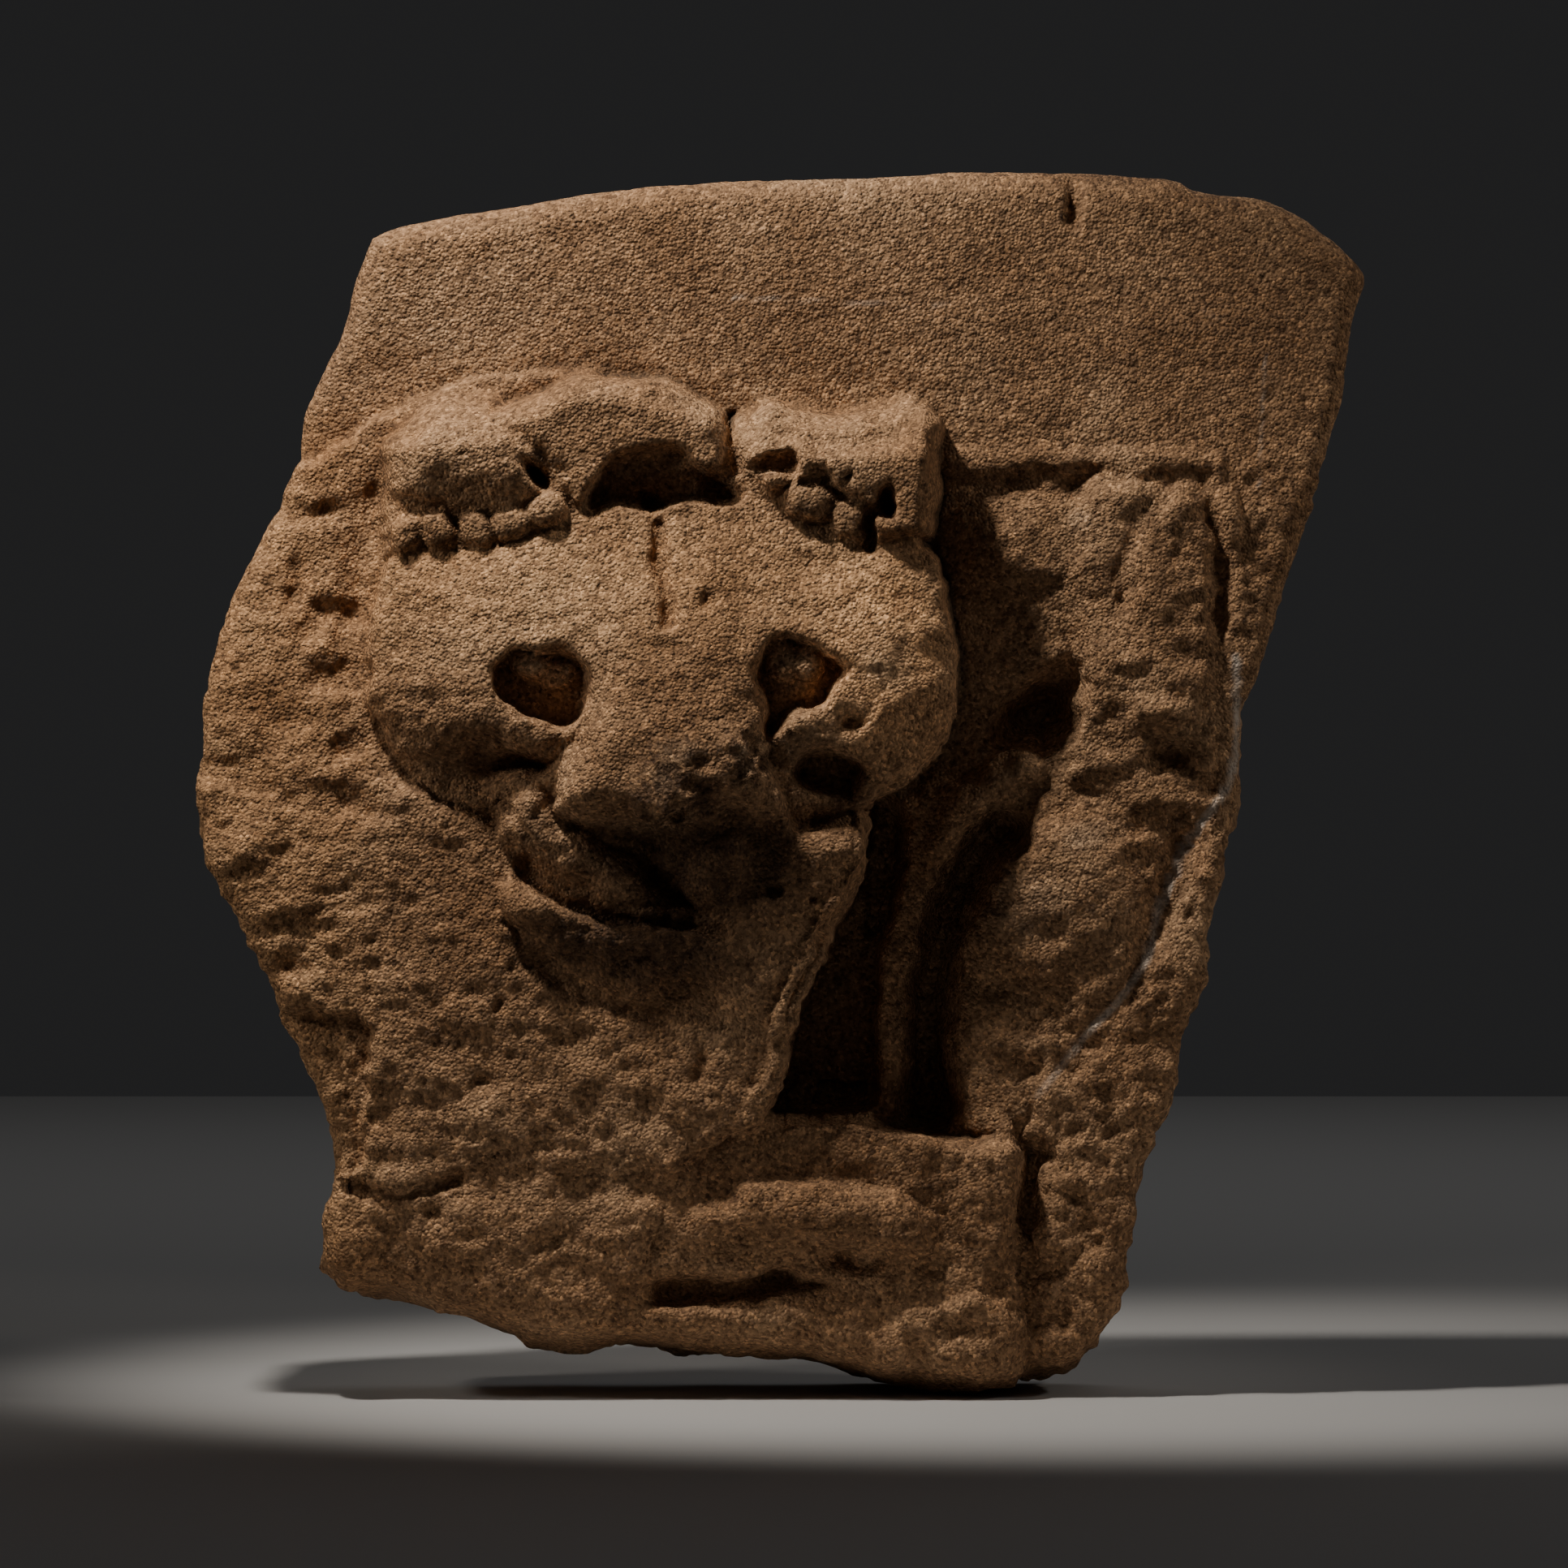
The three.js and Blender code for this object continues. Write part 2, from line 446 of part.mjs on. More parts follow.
// The rim all round, clockwise from the top left, and how far its edge is rounded or broken off
function rimPlaces() {
  const top = along(OUTLINE.top);
  const right = along(OUTLINE.right);
  const bottom = along(OUTLINE.bottom).reverse();
  const left = along(OUTLINE.left).reverse();
  const sides = [top, right, bottom, left];
  const rim = sides.flatMap((side) => side.slice(0, -1));
  const footShare = (i) => {
    const t = (i - 2 * CELLS) / CELLS;
    const blend = BROKEN_FOOT_BLEND;
    return smooth(-blend, blend, t) * smooth(1 + blend, 1 - blend, t);
  };
  return rim.map(([x, z], i) => {
    const [px, pz] = rim[(i - DIRECTION_REACH + rim.length) % rim.length];
    const [nx, nz] = rim[(i + DIRECTION_REACH) % rim.length];
    const length = Math.hypot(nx - px, nz - pz);
    const inward = [(nz - pz) / length, -(nx - px) / length];
    const rounding = mix(EDGE_ROUNDING, TOP_EDGE_ROUNDING, smooth(TOP_EDGE_FROM, TOP_EDGE_FULL, z));
    return { x, z, inward, run: mix(rounding, BROKEN_FOOT_RUN, footShare(i)),
      drop: mix(rounding, BROKEN_FOOT_DROP, footShare(i)) };
  });
}

const RIM = rimPlaces();
const STOPS = RIM.map(({ x, z, inward, run }) => [x + inward[0] * run, z + inward[1] * run]);

// The face inside the rim: a net of places that its four sides span
function spanNet() {
  const corner = (k) => STOPS[(k * CELLS) % STOPS.length];
  const side = (k, i) => STOPS[(k * CELLS + i) % STOPS.length];
  const net = [];
  for (let row = 0; row <= CELLS; row += 1) {
    const v = row / CELLS;
    net.push([]);
    for (let column = 0; column <= CELLS; column += 1) {
      const u = column / CELLS;
      const top = side(0, column);
      const right = side(1, row);
      const bottom = side(2, CELLS - column);
      const left = side(3, CELLS - row);
      net[row].push([0, 1].map((axis) => (
        mix(top[axis], bottom[axis], v) + mix(left[axis], right[axis], u)
        - mix(mix(corner(0)[axis], corner(1)[axis], u), mix(corner(3)[axis], corner(2)[axis], u), v)
      )));
    }
  }
  return net;
}

// Moves the net's places towards steep carving, so that the facets follow its edges
const STEEPNESS_PULL = 1.6;
const PULL_LIMIT = 3.5;
const SETTLING_PACE = 0.6;

function settle(net) {
  for (let round = 0; round < SETTLING_ROUNDS; round += 1) {
    const heights = net.map((row) => row.map(([x, z]) => heightAt(x, z)));
    const previous = net.map((row) => row.map((p) => [...p]));
    for (let row = 1; row < CELLS; row += 1) {
      for (let column = 1; column < CELLS; column += 1) {
        const here = previous[row][column];
        const sum = [0, 0];
        let total = 0;
        for (const [r, c] of [[row - 1, column], [row + 1, column], [row, column - 1], [row, column + 1]]) {
          const there = previous[r][c];
          const run = Math.hypot(there[0] - here[0], there[1] - here[1]) + TINY;
          const rise = Math.abs(heights[r][c] - heights[row][column]);
          const weight = Math.min(1 + STEEPNESS_PULL * rise / run, PULL_LIMIT);
          sum[0] += weight * there[0];
          sum[1] += weight * there[1];
          total += weight;
        }
        net[row][column] = [0, 1].map((axis) => mix(here[axis], sum[axis] / total, SETTLING_PACE));
      }
    }
  }
  return net;
}

const gap = (p, q) => new THREE.Vector3(...p).distanceTo(new THREE.Vector3(...q));

// One closed body: carved face, rounded edge, sides and flat back
function panelGeometry() {
  const points = [];
  const triangles = [];
  const add = (point) => points.push(point) - 1;
  const quad = (a, b, c, d) => triangles.push(a, b, c, a, c, d);

  const net = settle(spanNet());
  const face = net.map((row) => row.map(([x, z]) => add(place(x, z, heightAt(x, z)))));
  for (let row = 0; row < CELLS; row += 1) {
    for (let column = 0; column < CELLS; column += 1) {
      const [a, b] = [face[row][column], face[row][column + 1]];
      const [d, c] = [face[row + 1][column], face[row + 1][column + 1]];
      if (gap(points[a], points[c]) < gap(points[b], points[d])) {
        quad(a, d, c, b);
      } else {
        quad(b, a, d, c);
      }
    }
  }

  const first = [
    ...face[0].slice(0, -1),
    ...face.slice(0, -1).map((row) => row[CELLS]),
    ...[...face[CELLS]].reverse().slice(0, -1),
    ...[...face].reverse().slice(0, -1).map((row) => row[0]),
  ];
  const rings = [first];
  for (let step = 1; step <= EDGE_STEPS; step += 1) {
    const angle = (Math.PI / 2) * (step / EDGE_STEPS);
    rings.push(RIM.map(({ x, z, inward, run, drop }, i) => {
      const left = run * (1 - Math.sin(angle));
      const height = heightAt(...STOPS[i]) - drop * (1 - Math.cos(angle));
      return add(place(x + inward[0] * left, z + inward[1] * left, height));
    }));
  }
  rings.push(rings.at(-1).map((index) => add([points[index][0], 0, points[index][2]])));
  for (let ring = 1; ring < rings.length; ring += 1) {
    for (let i = 0; i < RIM.length; i += 1) {
      const next = (i + 1) % RIM.length;
      quad(rings[ring - 1][i], rings[ring - 1][next], rings[ring][next], rings[ring][i]);
    }
  }

  const back = rings.at(-1);
  const flat = back.map((index) => new THREE.Vector2(points[index][0], points[index][2]));
  THREE.ShapeUtils.triangulateShape(flat, []).forEach(([a, b, c]) => {
    triangles.push(back[a], back[c], back[b]);
  });

  const geometry = new THREE.BufferGeometry();
  geometry.setAttribute('position', new THREE.Float32BufferAttribute(points.flat(), 3));
  geometry.setIndex(triangles);
  geometry.computeVertexNormals();
  return geometry;
}

const panel = new THREE.Mesh(panelGeometry(), STONE);
panel.name = 'relief_panel';

const part = new THREE.Group();
part.name = 'stone_relief_panel';
part.add(panel);

export default part;
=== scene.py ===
import math

import bpy
import numpy as np
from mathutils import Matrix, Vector
from mathutils.geometry import delaunay_2d_cdt


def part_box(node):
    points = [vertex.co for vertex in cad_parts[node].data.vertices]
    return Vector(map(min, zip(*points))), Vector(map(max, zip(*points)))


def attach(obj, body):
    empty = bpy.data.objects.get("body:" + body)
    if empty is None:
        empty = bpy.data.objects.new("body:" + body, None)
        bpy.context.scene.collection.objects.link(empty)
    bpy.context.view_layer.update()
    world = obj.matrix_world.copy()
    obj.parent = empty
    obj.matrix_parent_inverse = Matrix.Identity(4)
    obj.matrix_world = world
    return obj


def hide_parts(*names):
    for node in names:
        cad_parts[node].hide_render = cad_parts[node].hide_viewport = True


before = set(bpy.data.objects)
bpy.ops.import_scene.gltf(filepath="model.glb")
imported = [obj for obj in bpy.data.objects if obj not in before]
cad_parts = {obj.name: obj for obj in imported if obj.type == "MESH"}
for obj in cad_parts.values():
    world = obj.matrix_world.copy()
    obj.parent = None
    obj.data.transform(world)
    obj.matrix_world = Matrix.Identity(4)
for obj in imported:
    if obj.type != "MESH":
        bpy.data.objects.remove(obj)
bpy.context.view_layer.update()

# A stone relief panel, carved in one piece with the slab behind it.
# The carving is drawn at full size on a sheet in millimetres: x right, z up, heights from the face of
# the plain band. On the object y = 0 is the flat back and the carved face looks towards -y.

MM = 0.001
LOW, HIGH = (np.array(corner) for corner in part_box("relief_panel"))

# Driving sizes in millimetres
PANEL_WIDTH = 459.5
PANEL_HEIGHT = 483.5
SLAB_THICKNESS = 74
NOSE_PROJECTION = 55
EDGE_ROUNDING = 8
TOP_EDGE_ROUNDING = 12
TOP_EDGE_FROM = 150
TOP_EDGE_FULL = 230
BROKEN_FOOT_RUN = 17
BROKEN_FOOT_DROP = 52
BROKEN_FOOT_BLEND = 0.07

# Mesh: cells across and up the face, coarse cells that are settled first, rings round the edge
CELLS = 285
COARSE_CELLS = 57
EDGE_STEPS = 5
SIDE_BANDS = 5
SAMPLE_SPACING = 1.25
COARSE_ROUNDS = 80
FINE_ROUNDS = 14
HOLLOW_ROUNDS = 24
BLUR_ROUNDS = 6

# The sheet's own width, height and highest point
SHEET = dict(width=459.5, height=483.5, projection=55)


def step(tool, **sizes):
    """One step of the carving."""
    return dict(tool=tool, **sizes)


# Worn and broken outline of the slab on the sheet, side by side
OUTLINE = dict(
    top=[(-163, 216), (-150, 221), (-114, 227.5), (-69, 234.6), (-24, 238), (43, 240.5), (100, 242),
        (150, 239.5), (163, 234.5), (185, 232.5), (200, 227), (214, 217), (226, 206)],
    right=[(226, 206), (229.5, 199), (225, 182), (218, 143), (210, 120), (205, 101), (193.5, 66),
        (180, 24), (178.5, -2), (171, -49), (161, -88), (150.5, -126), (139.5, -162), (131, -206),
        (121, -226)],
    bottom=[(-182, -190), (-173, -200), (-156, -203.5), (-136, -210), (-108, -217.5), (-99, -222),
        (-80, -224), (-62, -222), (-35, -226.5), (-5, -228), (22, -232), (45, -239), (72, -241.5),
        (88, -238.5), (108, -234), (121, -226)],
    left=[(-163, 216), (-169, 200), (-174, 180), (-183, 161), (-190, 144), (-193, 122), (-206, 95),
        (-219, 66), (-228, 28), (-230, -5), (-226, -28), (-215, -49), (-201, -78), (-198, -89),
        (-184, -118), (-178, -133), (-177, -150), (-179, -172), (-182, -190)],
)

# Each step of the carving names its tool; the tools are the functions in TOOLS below.
# Outlines and paths are points on the sheet, sizes are half widths, turns are in degrees.

# Sunk field on the right with the worn seated figure in it
FIELD = [
    step("level", outline=[(58, 131), (110, 132), (168, 129.5), (179, 125), (182, 110), (182, 70),
        (180, 45), (176, 18), (172, -5), (160, -24), (149, -50), (141, -72), (128, -90), (112, -108),
        (100, -130), (97, -150), (94, -180), (96, -245), (-60, -245), (-60, -150), (-30, -140), (0, -100),
        (20, 0), (40, 110)], tos=[(130, -1.5), (112, -3), (80, -5)], soft=(-1, 3)),
    # fillet that frames the field
    step("ridge", path=[(56, 127), (90, 127.5), (158, 126.5), (170, 123), (175, 112), (177, 90),
        (178.5, 65), (177, 45), (174, 25)], top=2.5, fall=0.1, join=3),
    # wall between the head and the figure
    step("level", outline=[(40, 118), (72, 112), (108, 95), (116, 70), (106, 40), (84, 16), (60, 0),
        (30, 0), (20, 60)], to=-5, lean=(0.12, 0.08), about=(84, 60), soft=(-9, 9)),
    # block under the fillet
    step("dome", at=(97, 97), size=(30, 19), turn=-6, squareness=2.4, foot=-8, rise=10, flatness=2,
        join=8),
    # rough upper body of the figure
    step("level", outline=[(120, 116), (140, 119), (160, 118), (169, 108), (170.5, 70), (172, 35),
        (173, 4), (160, -2), (138, -2), (124, 10), (120, 40), (116, 70), (114, 95)], to=5, soft=(-6, 6)),
    step("bump", at=(146, 60), size=(30, 74), rise=5),
    step("bump", at=(148, 28), size=(28, 9), turn=2, rise=5),
    step("pit", at=(153, 9), size=(16, 12), squareness=2.4, floor=0.1, depth=10),
    # thigh and shin
    step("level", outline=[(102, -9), (122, -10), (150, -14), (168, -6), (160, -22), (149, -50),
        (141, -72), (128, -92), (116, -112), (100, -128), (92, -145), (72, -141), (66, -125), (65, -90),
        (68, -62), (76, -42), (88, -22)], to=6, soft=(-9, 10)),
    step("bump", at=(114, -46), size=(50, 74), turn=20, rise=11),
    step("level", outline=[(118, 44), (130, 40), (140, 10), (160, 0), (168, -6), (150, -16), (102, -14),
        (108, 8)], to=6, soft=(-9, 8)),
    # hole behind the elbow, and the forearm that runs down from it between two channels
    step("pit", at=(101, 28), size=(27, 17), turn=47, squareness=2.2, floor=0.15, depth=28),
    step("ridge", path=[(96, 4), (82, -2), (69, -14), (58, -34), (49, -62), (45, -90), (43, -132)],
        tops=[(6, 7), (-16, 4), (-40, -8), (-70, -20), (-110, -26)], fall=0.13, join=5),
    step("dip", outline=[(26, -4), (40, -4), (50, -16), (47, -40), (41, -62), (38, -90), (37, -126),
        (20, -132), (-8, -131), (-8, -112), (0, -88), (8, -66), (18, -45), (24, -20)], depth=36,
        soft=(-1, 7)),
    step("groove", path=[(86, -18), (74, -34), (63, -58), (58, -84), (57, -108), (57, -130)], width=12,
        flat=2, depth=30),
    step("floor", at=-42),
]

# Broad ground on the left, with its arched upper edge
GROUND = [
    step("level", outline=[(-215, 96), (-197, 113), (-180, 131), (-160, 146), (-140, 155.5), (-115, 161),
        (-80, 163), (-45, 159), (-27, 149), (-15, 130), (10, 60), (29, -8), (30, -24), (24, -43),
        (11.5, -66), (4, -88), (-2, -112), (-13, -131), (-28, -146), (-42, -160), (-50, -180),
        (-53, -215), (-56, -262), (-262, -262), (-262, 60)], tos=[(160, 4), (100, 9), (60, 17), (20, 25),
        (-20, 30), (-60, 32), (-120, 31), (-170, 28.5), (-220, 25)], soft=(-1, 3)),
    step("ridge", path=[(14, -66), (4, -88), (-4, -112), (-16, -134)], top=32, fall=0.16, join=4),
    # broken lower corner and ledges at the left edge
    step("dip", outline=[(-260, -86), (-198, -87), (-182, -88), (-168, -91), (-160, -100), (-165, -130),
        (-172, -155), (-260, -160)], depth=5, soft=(-1, 3)),
    step("dip", outline=[(-250, 0), (-212, -2), (-196, -10), (-205, -30), (-250, -36)], depth=-2.5,
        soft=(-3, 3)),
]

# Foot of the figure, the slot under it, the plinth and the groove beside them
PEDESTAL = [
    step("level", outline=[(-46, -149), (-22, -136), (2, -129), (25, -129), (46, -135), (60, -138),
        (78, -140), (94, -142), (96, -170), (93, -236), (-55, -236), (-59, -200), (-53, -168)], to=22,
        lean=(-0.05, 0.02), about=(20, -150), soft=(-2, 6)),
    step("mound", outline=[(-48, -190), (-46, -174), (-34, -162), (-12, -154), (18, -153), (44, -158),
        (62, -168), (68, -180), (64, -194), (40, -193), (14, -192), (-20, -192), (-40, -192)], foot=16,
        rises=[(-155, 19), (-170, 17), (-180, 12), (-190, 6)], shoulder=20, join=3),
    step("level", outline=[(93, -143), (95, -240), (30, -240), (34, -204), (50, -190), (66, -172),
        (74, -150)], to=22, soft=(-6, 12), share=0.7),
    step("dip", outline=[(-52, -194), (-40, -190), (-20, -191), (-4, -188), (10, -191), (20, -196),
        (12, -201), (-8, -203), (-24, -206), (-50, -205)], depth=13, soft=(-2, 7)),
    step("level", outline=[(-60, -210), (-38, -206.5), (0, -204.5), (50, -203), (92, -204), (93, -250),
        (-60, -250)], to=25, soft=(-2, 4)),
    step("level", outline=[(98, -120), (116, -110), (142, -70), (160, -24), (175, 0), (190, 20),
        (200, -150), (150, -260), (98, -260)], to=12, soft=(-6, 8), share=0.85),
    step("groove", path=[(98, -147), (97, -160), (93.5, -180), (95, -205), (94.5, -222), (94, -240)],
        width=11, depth=10, flat=0),
]

# Animal head: skull, cheeks, muzzle, pads beside it, jaw, open mouth, eye sockets and grooves
HEAD = [
    step("skull", at=(-48, 38), width=115.5, above=88, below=62, squareness=(2.7, 2.15), foot=23,
        rises=[(-20, 12), (8, 17), (24, 21.5), (38, 22.5), (60, 20), (80, 14), (100, 6), (112, 2)],
        flatness=[(-10, 5), (5, 3.4), (20, 2.6), (50, 2.3)]),
    # underside of the left cheek
    step("level", outline=[(-157, 11), (-146, 14), (-130, 18), (-112, 16), (-91, 10.5), (-89, 8),
        (-97, 3), (-108, 0), (-116, -6), (-128, -6), (-141, -3), (-152, 3)], to=27, lean=(0.05, 0.45),
        about=(-125, 6), soft=(-3, 9)),
    step("ridge", path=[(-118, 19.5), (-106, 18.5), (-92, 15.5)], top=38, fall=0.3, join=3),
    # muzzle, broad and round, down to the lower edge of the nose
    step("mound", outline=[(-70, 80), (-46, 88), (-22, 80), (-14, 56), (-9, 36), (-5, 16), (-2, 0),
        (2, -14), (2, -30), (-6, -44), (-18, -52), (-30, -48), (-38, -39), (-47, -29), (-54, -21.5),
        (-66, -17.5), (-80, -15.5), (-89, -13), (-91, -6), (-88, 5), (-83, 15), (-79, 30), (-77, 46)],
        foot=34, rises=[(84, 2), (66, 9), (45, 15), (22, 20), (6, 21), (-4, 21.5), (-10, 20), (-18, 13),
        (-28, 9.5), (-50, 5)], shoulder=18, join=5),
    # upper lip on the left, hollowed under the nose
    step("mound", outline=[(-94, 2), (-86, -10), (-72, -15), (-58, -18), (-46, -28), (-36, -42),
        (-32, -52), (-44, -53), (-60, -52.5), (-72, -51), (-82, -47), (-92, -40), (-101, -34),
        (-109, -28), (-113.5, -19), (-114, -9), (-110, -2), (-102, 3)], foot=24, rises=[(0, 18),
        (-20, 15), (-50, 10)], shoulder=15, join=3),
    step("sink", outline=[(-88, -13.5), (-80, -16), (-66, -18), (-54, -22), (-47, -29.5), (-39, -39),
        (-33, -47), (-34, -52), (-44, -50), (-54, -44), (-62, -37), (-70, -31), (-77, -25), (-83, -19)],
        to=26, soft=(-2, 8)),
    # jaw and chin
    step("mound", outline=[(-106, -31), (-111, -40), (-109, -52), (-99, -62), (-89, -71), (-78, -77.5),
        (-64, -82), (-48, -86), (-28, -89), (-10, -88), (2, -78), (4, -62), (-8, -52), (-30, -50),
        (-50, -48), (-64, -48), (-76, -45), (-88, -38), (-98, -33)], foot=27, rises=[(-34, 13),
        (-46, 14.5), (-60, 11.5), (-76, 6.5), (-90, 3)], shoulder=14, join=4),
    # right side of the muzzle, worn to a slope, and its edge that runs on down into the chest
    step("level", outline=[(-16, -4), (0, -11), (13, -18), (27, -14), (31, -22), (30, -34), (26, -43),
        (19, -54), (13, -66), (6, -80), (-2, -92), (-18, -92), (-30, -80), (-32, -62), (-28, -52),
        (-34, -42), (-36, -28), (-28, -12)], to=38, lean=(-0.2, 0.12), about=(0, -30), soft=(-2, 9),
        share=0.9),
    step("ridge", path=[(30, -12), (29.5, -22), (27, -32), (23, -41), (17, -50), (11, -61), (5, -74),
        (0, -86), (-3, -98), (-6, -112), (-15, -130)], tops=[(-12, 31), (-24, 32), (-40, 33), (-60, 34.5),
        (-86, 34.5), (-112, 33.5), (-132, 30)], fall=1.5, join=4),
    # worn hollow under the nose on the right
    step("dip", outline=[(-62, -17), (-46, -12), (-30, -5), (-14, -6), (-4, -18), (-6, -36), (-18, -50),
        (-34, -54), (-46, -48), (-56, -38), (-62, -28)], depth=5.5, soft=(-9, 4)),
    step("bump", at=(-22, -30), size=(13, 6), turn=-50, rise=2.5),
    # mouth between them
    step("groove", path=[(-103, -34), (-95, -40), (-84, -47.5), (-70, -52.5), (-50, -54.5), (-34, -57),
        (-24, -58.5)], width=4.5, depth=7, flat=0.5),
    # left eye, then right eye
    step("dip", outline=[(-115, 44), (-111, 49), (-106, 52.5), (-97, 53.5), (-88, 53), (-80, 49),
        (-75.5, 43), (-76, 36), (-78, 27), (-83, 21.5), (-90, 20.5), (-97, 23), (-106, 27.5), (-112, 33)],
        depth=14, soft=(-1, 4)),
    step("dome", at=(-98, 46), size=(10, 7), turn=-8, foot=31, rise=7, flatness=3, join=3),
    step("dome", at=(-89, 42), size=(9, 6), turn=10, foot=30, rise=4, flatness=3, join=3),
    step("dip", outline=[(-12.5, 44), (-11, 50), (-7, 54.5), (1, 57.5), (9, 55.5), (15, 52), (25.5, 45),
        (21, 38), (18, 32), (11, 27.5), (3, 24), (-3, 18), (-6, 16), (-8.5, 22), (-10, 32)], depth=14,
        soft=(-1, 4)),
    step("dome", at=(-1, 48), size=(7, 8), turn=20, foot=31, rise=7.5, flatness=3, join=3),
    step("dome", at=(7.5, 46.5), size=(7, 7), turn=-30, foot=31, rise=7, flatness=3, join=3),
    step("dome", at=(4, 39), size=(8, 6), turn=10, foot=30, rise=3.5, flatness=3, join=3),
    # hollows in the cheeks
    step("dip", outline=[(-128, 19), (-120, 22), (-108, 19.5), (-95, 13), (-89, 7.5), (-94, 3.5),
        (-104, 1.5), (-115, 2), (-125, 8)], depth=5.5, soft=(-2, 5)),
    step("pit", at=(-101, 9), size=(15, 6), turn=-12, floor=0.1, depth=6),
    step("dip", outline=[(3, 6), (6, 12), (12, 14.5), (20, 15.5), (27, 12.5), (31, 6), (30.5, -3),
        (27, -7), (20, -6.5), (13, -5), (7, -1)], depth=17, soft=(-1, 5)),
    step("dip", outline=[(8, -2), (20, -4), (28, -6), (27, -15), (18, -17), (10, -14)], depth=2,
        soft=(-4, 5)),
    step("groove", path=[(-51, 112), (-49, 98), (-47.5, 80), (-45.5, 62)], width=5, depth=5.5, flat=0),
]

# Paws that rest on the head, with the arch between them
PAWS = [
    step("mound", outline=[(-119, 143), (-104, 152), (-84, 159.5), (-62, 161), (-42, 157), (-28, 149.5),
        (-20.5, 142), (-18, 130), (-17, 113), (-30, 104), (-50, 100), (-70, 102), (-84, 106), (-93, 118),
        (-106, 128)], foot=7, rise=25, shoulder=14, join=4),
    step("mound", outline=[(-104, 138), (-98, 147), (-84, 147), (-71, 136), (-73, 120), (-77, 110),
        (-85, 107), (-92, 110), (-97, 120)], foot=15, rise=14, shoulder=12, join=5),
    step("level", outline=[(-77, 108), (-73, 121), (-66, 128), (-55, 131.5), (-42, 130), (-30, 122),
        (-21, 116), (-16, 113), (-28, 109), (-40, 110), (-52, 106), (-63, 108)], to=22, lean=(0, 0.4),
        about=(-50, 121), soft=(-1.5, 3)),
    step("dip", outline=[(-28, 122), (-18, 120), (-16, 113), (-24, 110), (-31, 113)], depth=5,
        soft=(-3, 3)),
    step("bump", at=(-64, 120), size=(7, 5), rise=1),
    step("bump", at=(-40, 124), size=(8, 4), turn=-15, rise=1),
    step("bump", at=(-34, 115), size=(5, 3), rise=1.6),
    step("mound", outline=[(-157.5, 121), (-155, 133), (-144, 144), (-131, 149), (-117, 148), (-104, 144),
        (-95, 135), (-90, 124), (-87, 114), (-86, 106), (-92, 100), (-103, 95), (-116, 92.5), (-130, 92),
        (-143, 91.5), (-154, 95), (-157, 106)], foot=14, rises=[(148, 12), (138, 19), (131, 22),
        (124, 21.5), (118, 20), (113, 17.5), (108, 15), (94, 13)], shoulder=17, join=5),
    step("mound", outline=[(-16, 138), (-11, 146), (0, 148), (16, 145), (32, 146), (47, 149), (58, 146),
        (61, 134), (60.5, 112), (57, 97), (46, 93), (33, 94), (22, 97), (12, 101), (0, 104), (-9, 112),
        (-17, 124)], foot=8, rises=[(150, 8), (141, 15), (127, 26), (114, 25), (104, 24), (98, 28),
        (94, 34)], shoulder=10, join=5),
    step("dip", outline=[(-6, 141), (12, 137), (30, 138), (46, 142), (46, 132), (24, 130), (-2, 133)],
        depth=3, soft=(-5, 5)),
]

# Holes and deeper slots between the paws and the head
PAW_HOLLOWS = [
    step("pit", at=(-97, 121), size=(10.5, 4.5), turn=-35, floor=0.1, depth=12),
    step("pit", at=(-4, 125), size=(11, 6), turn=10, floor=0.2, depth=12),
    step("pit", at=(41, 111), size=(4.5, 9), floor=0.3, depth=13),
    step("pit", at=(-53, 111), size=(5.5, 5), floor=0.2, depth=6),
    step("dome", at=(-17, 125), size=(6, 14), foot=16, rise=8, flatness=3, join=3),
    step("groove", path=[(-20, 146), (-19, 136), (-17, 122)], width=3, depth=6),
]

# Steep side of the channel beside the head and chest
CHANNEL = [
    step("sink", outline=[(32, -8), (34, -22), (31, -36), (23, -50), (16.5, -63), (10.5, -76), (6, -88),
        (2.5, -100), (-1, -113), (-8, -130), (20, -131), (37, -126), (38, -90), (41, -62), (45, -42),
        (46, -22), (40, -8)], to=-36, soft=(-0.5, 3)),
]

# Finer marks: creases, crust, worn spots and scars
MARKS = [
    step("groove", path=[(148, 115), (142, 108), (137, 97), (134, 84), (133, 72)], width=10, depth=3.5,
        flat=0),
    step("groove", path=[(166, 106), (170.5, 96), (172, 82), (172, 68)], width=9, depth=2.2, flat=0),
    step("groove", path=[(-166, -158), (-155, -160.5), (-142, -159), (-128, -155)], width=5, depth=4),
    step("groove", path=[(-111, -7), (-104, -16), (-100, -22)], width=2.2, depth=2.5, flat=0),
    # trough along the left side of the head, and the undercut of the chin
    step("groove", path=[(-160, 112), (-166, 95), (-169, 75), (-169, 50), (-167, 32), (-160, 12),
        (-150, 1)], width=11, depth=3, flat=1),
    step("groove", path=[(-106, -57), (-100, -65.5), (-90, -74.5), (-78, -81), (-64, -86), (-48, -90)],
        width=7, depth=3.5, flat=0.5),
    # crust that is left on the nose
    step("bump", at=(-55, -13), size=(9, 9), turn=20, rise=3),
    step("bump", at=(-43, -3), size=(11, 5), turn=-20, rise=2.5),
    step("bump", at=(-50, 5), size=(5, 6), rise=2),
    step("bump", at=(-18, 15.5), size=(7, 6), turn=10, rise=3.5),
    step("pit", at=(-26, -8), size=(7, 5), turn=20, floor=0.1, depth=3),
    step("pit", at=(-3, -42), size=(5, 4), floor=0.1, depth=5),
    step("pit", at=(12, -45), size=(4, 4), floor=0.1, depth=4),
    step("pit", at=(14, -14), size=(5, 2), floor=0.1, depth=3),
    step("pit", at=(27, 24), size=(6, 5), floor=0.1, depth=4),
    step("pit", at=(-30, 72), size=(5, 4), floor=0.1, depth=2.5),
]

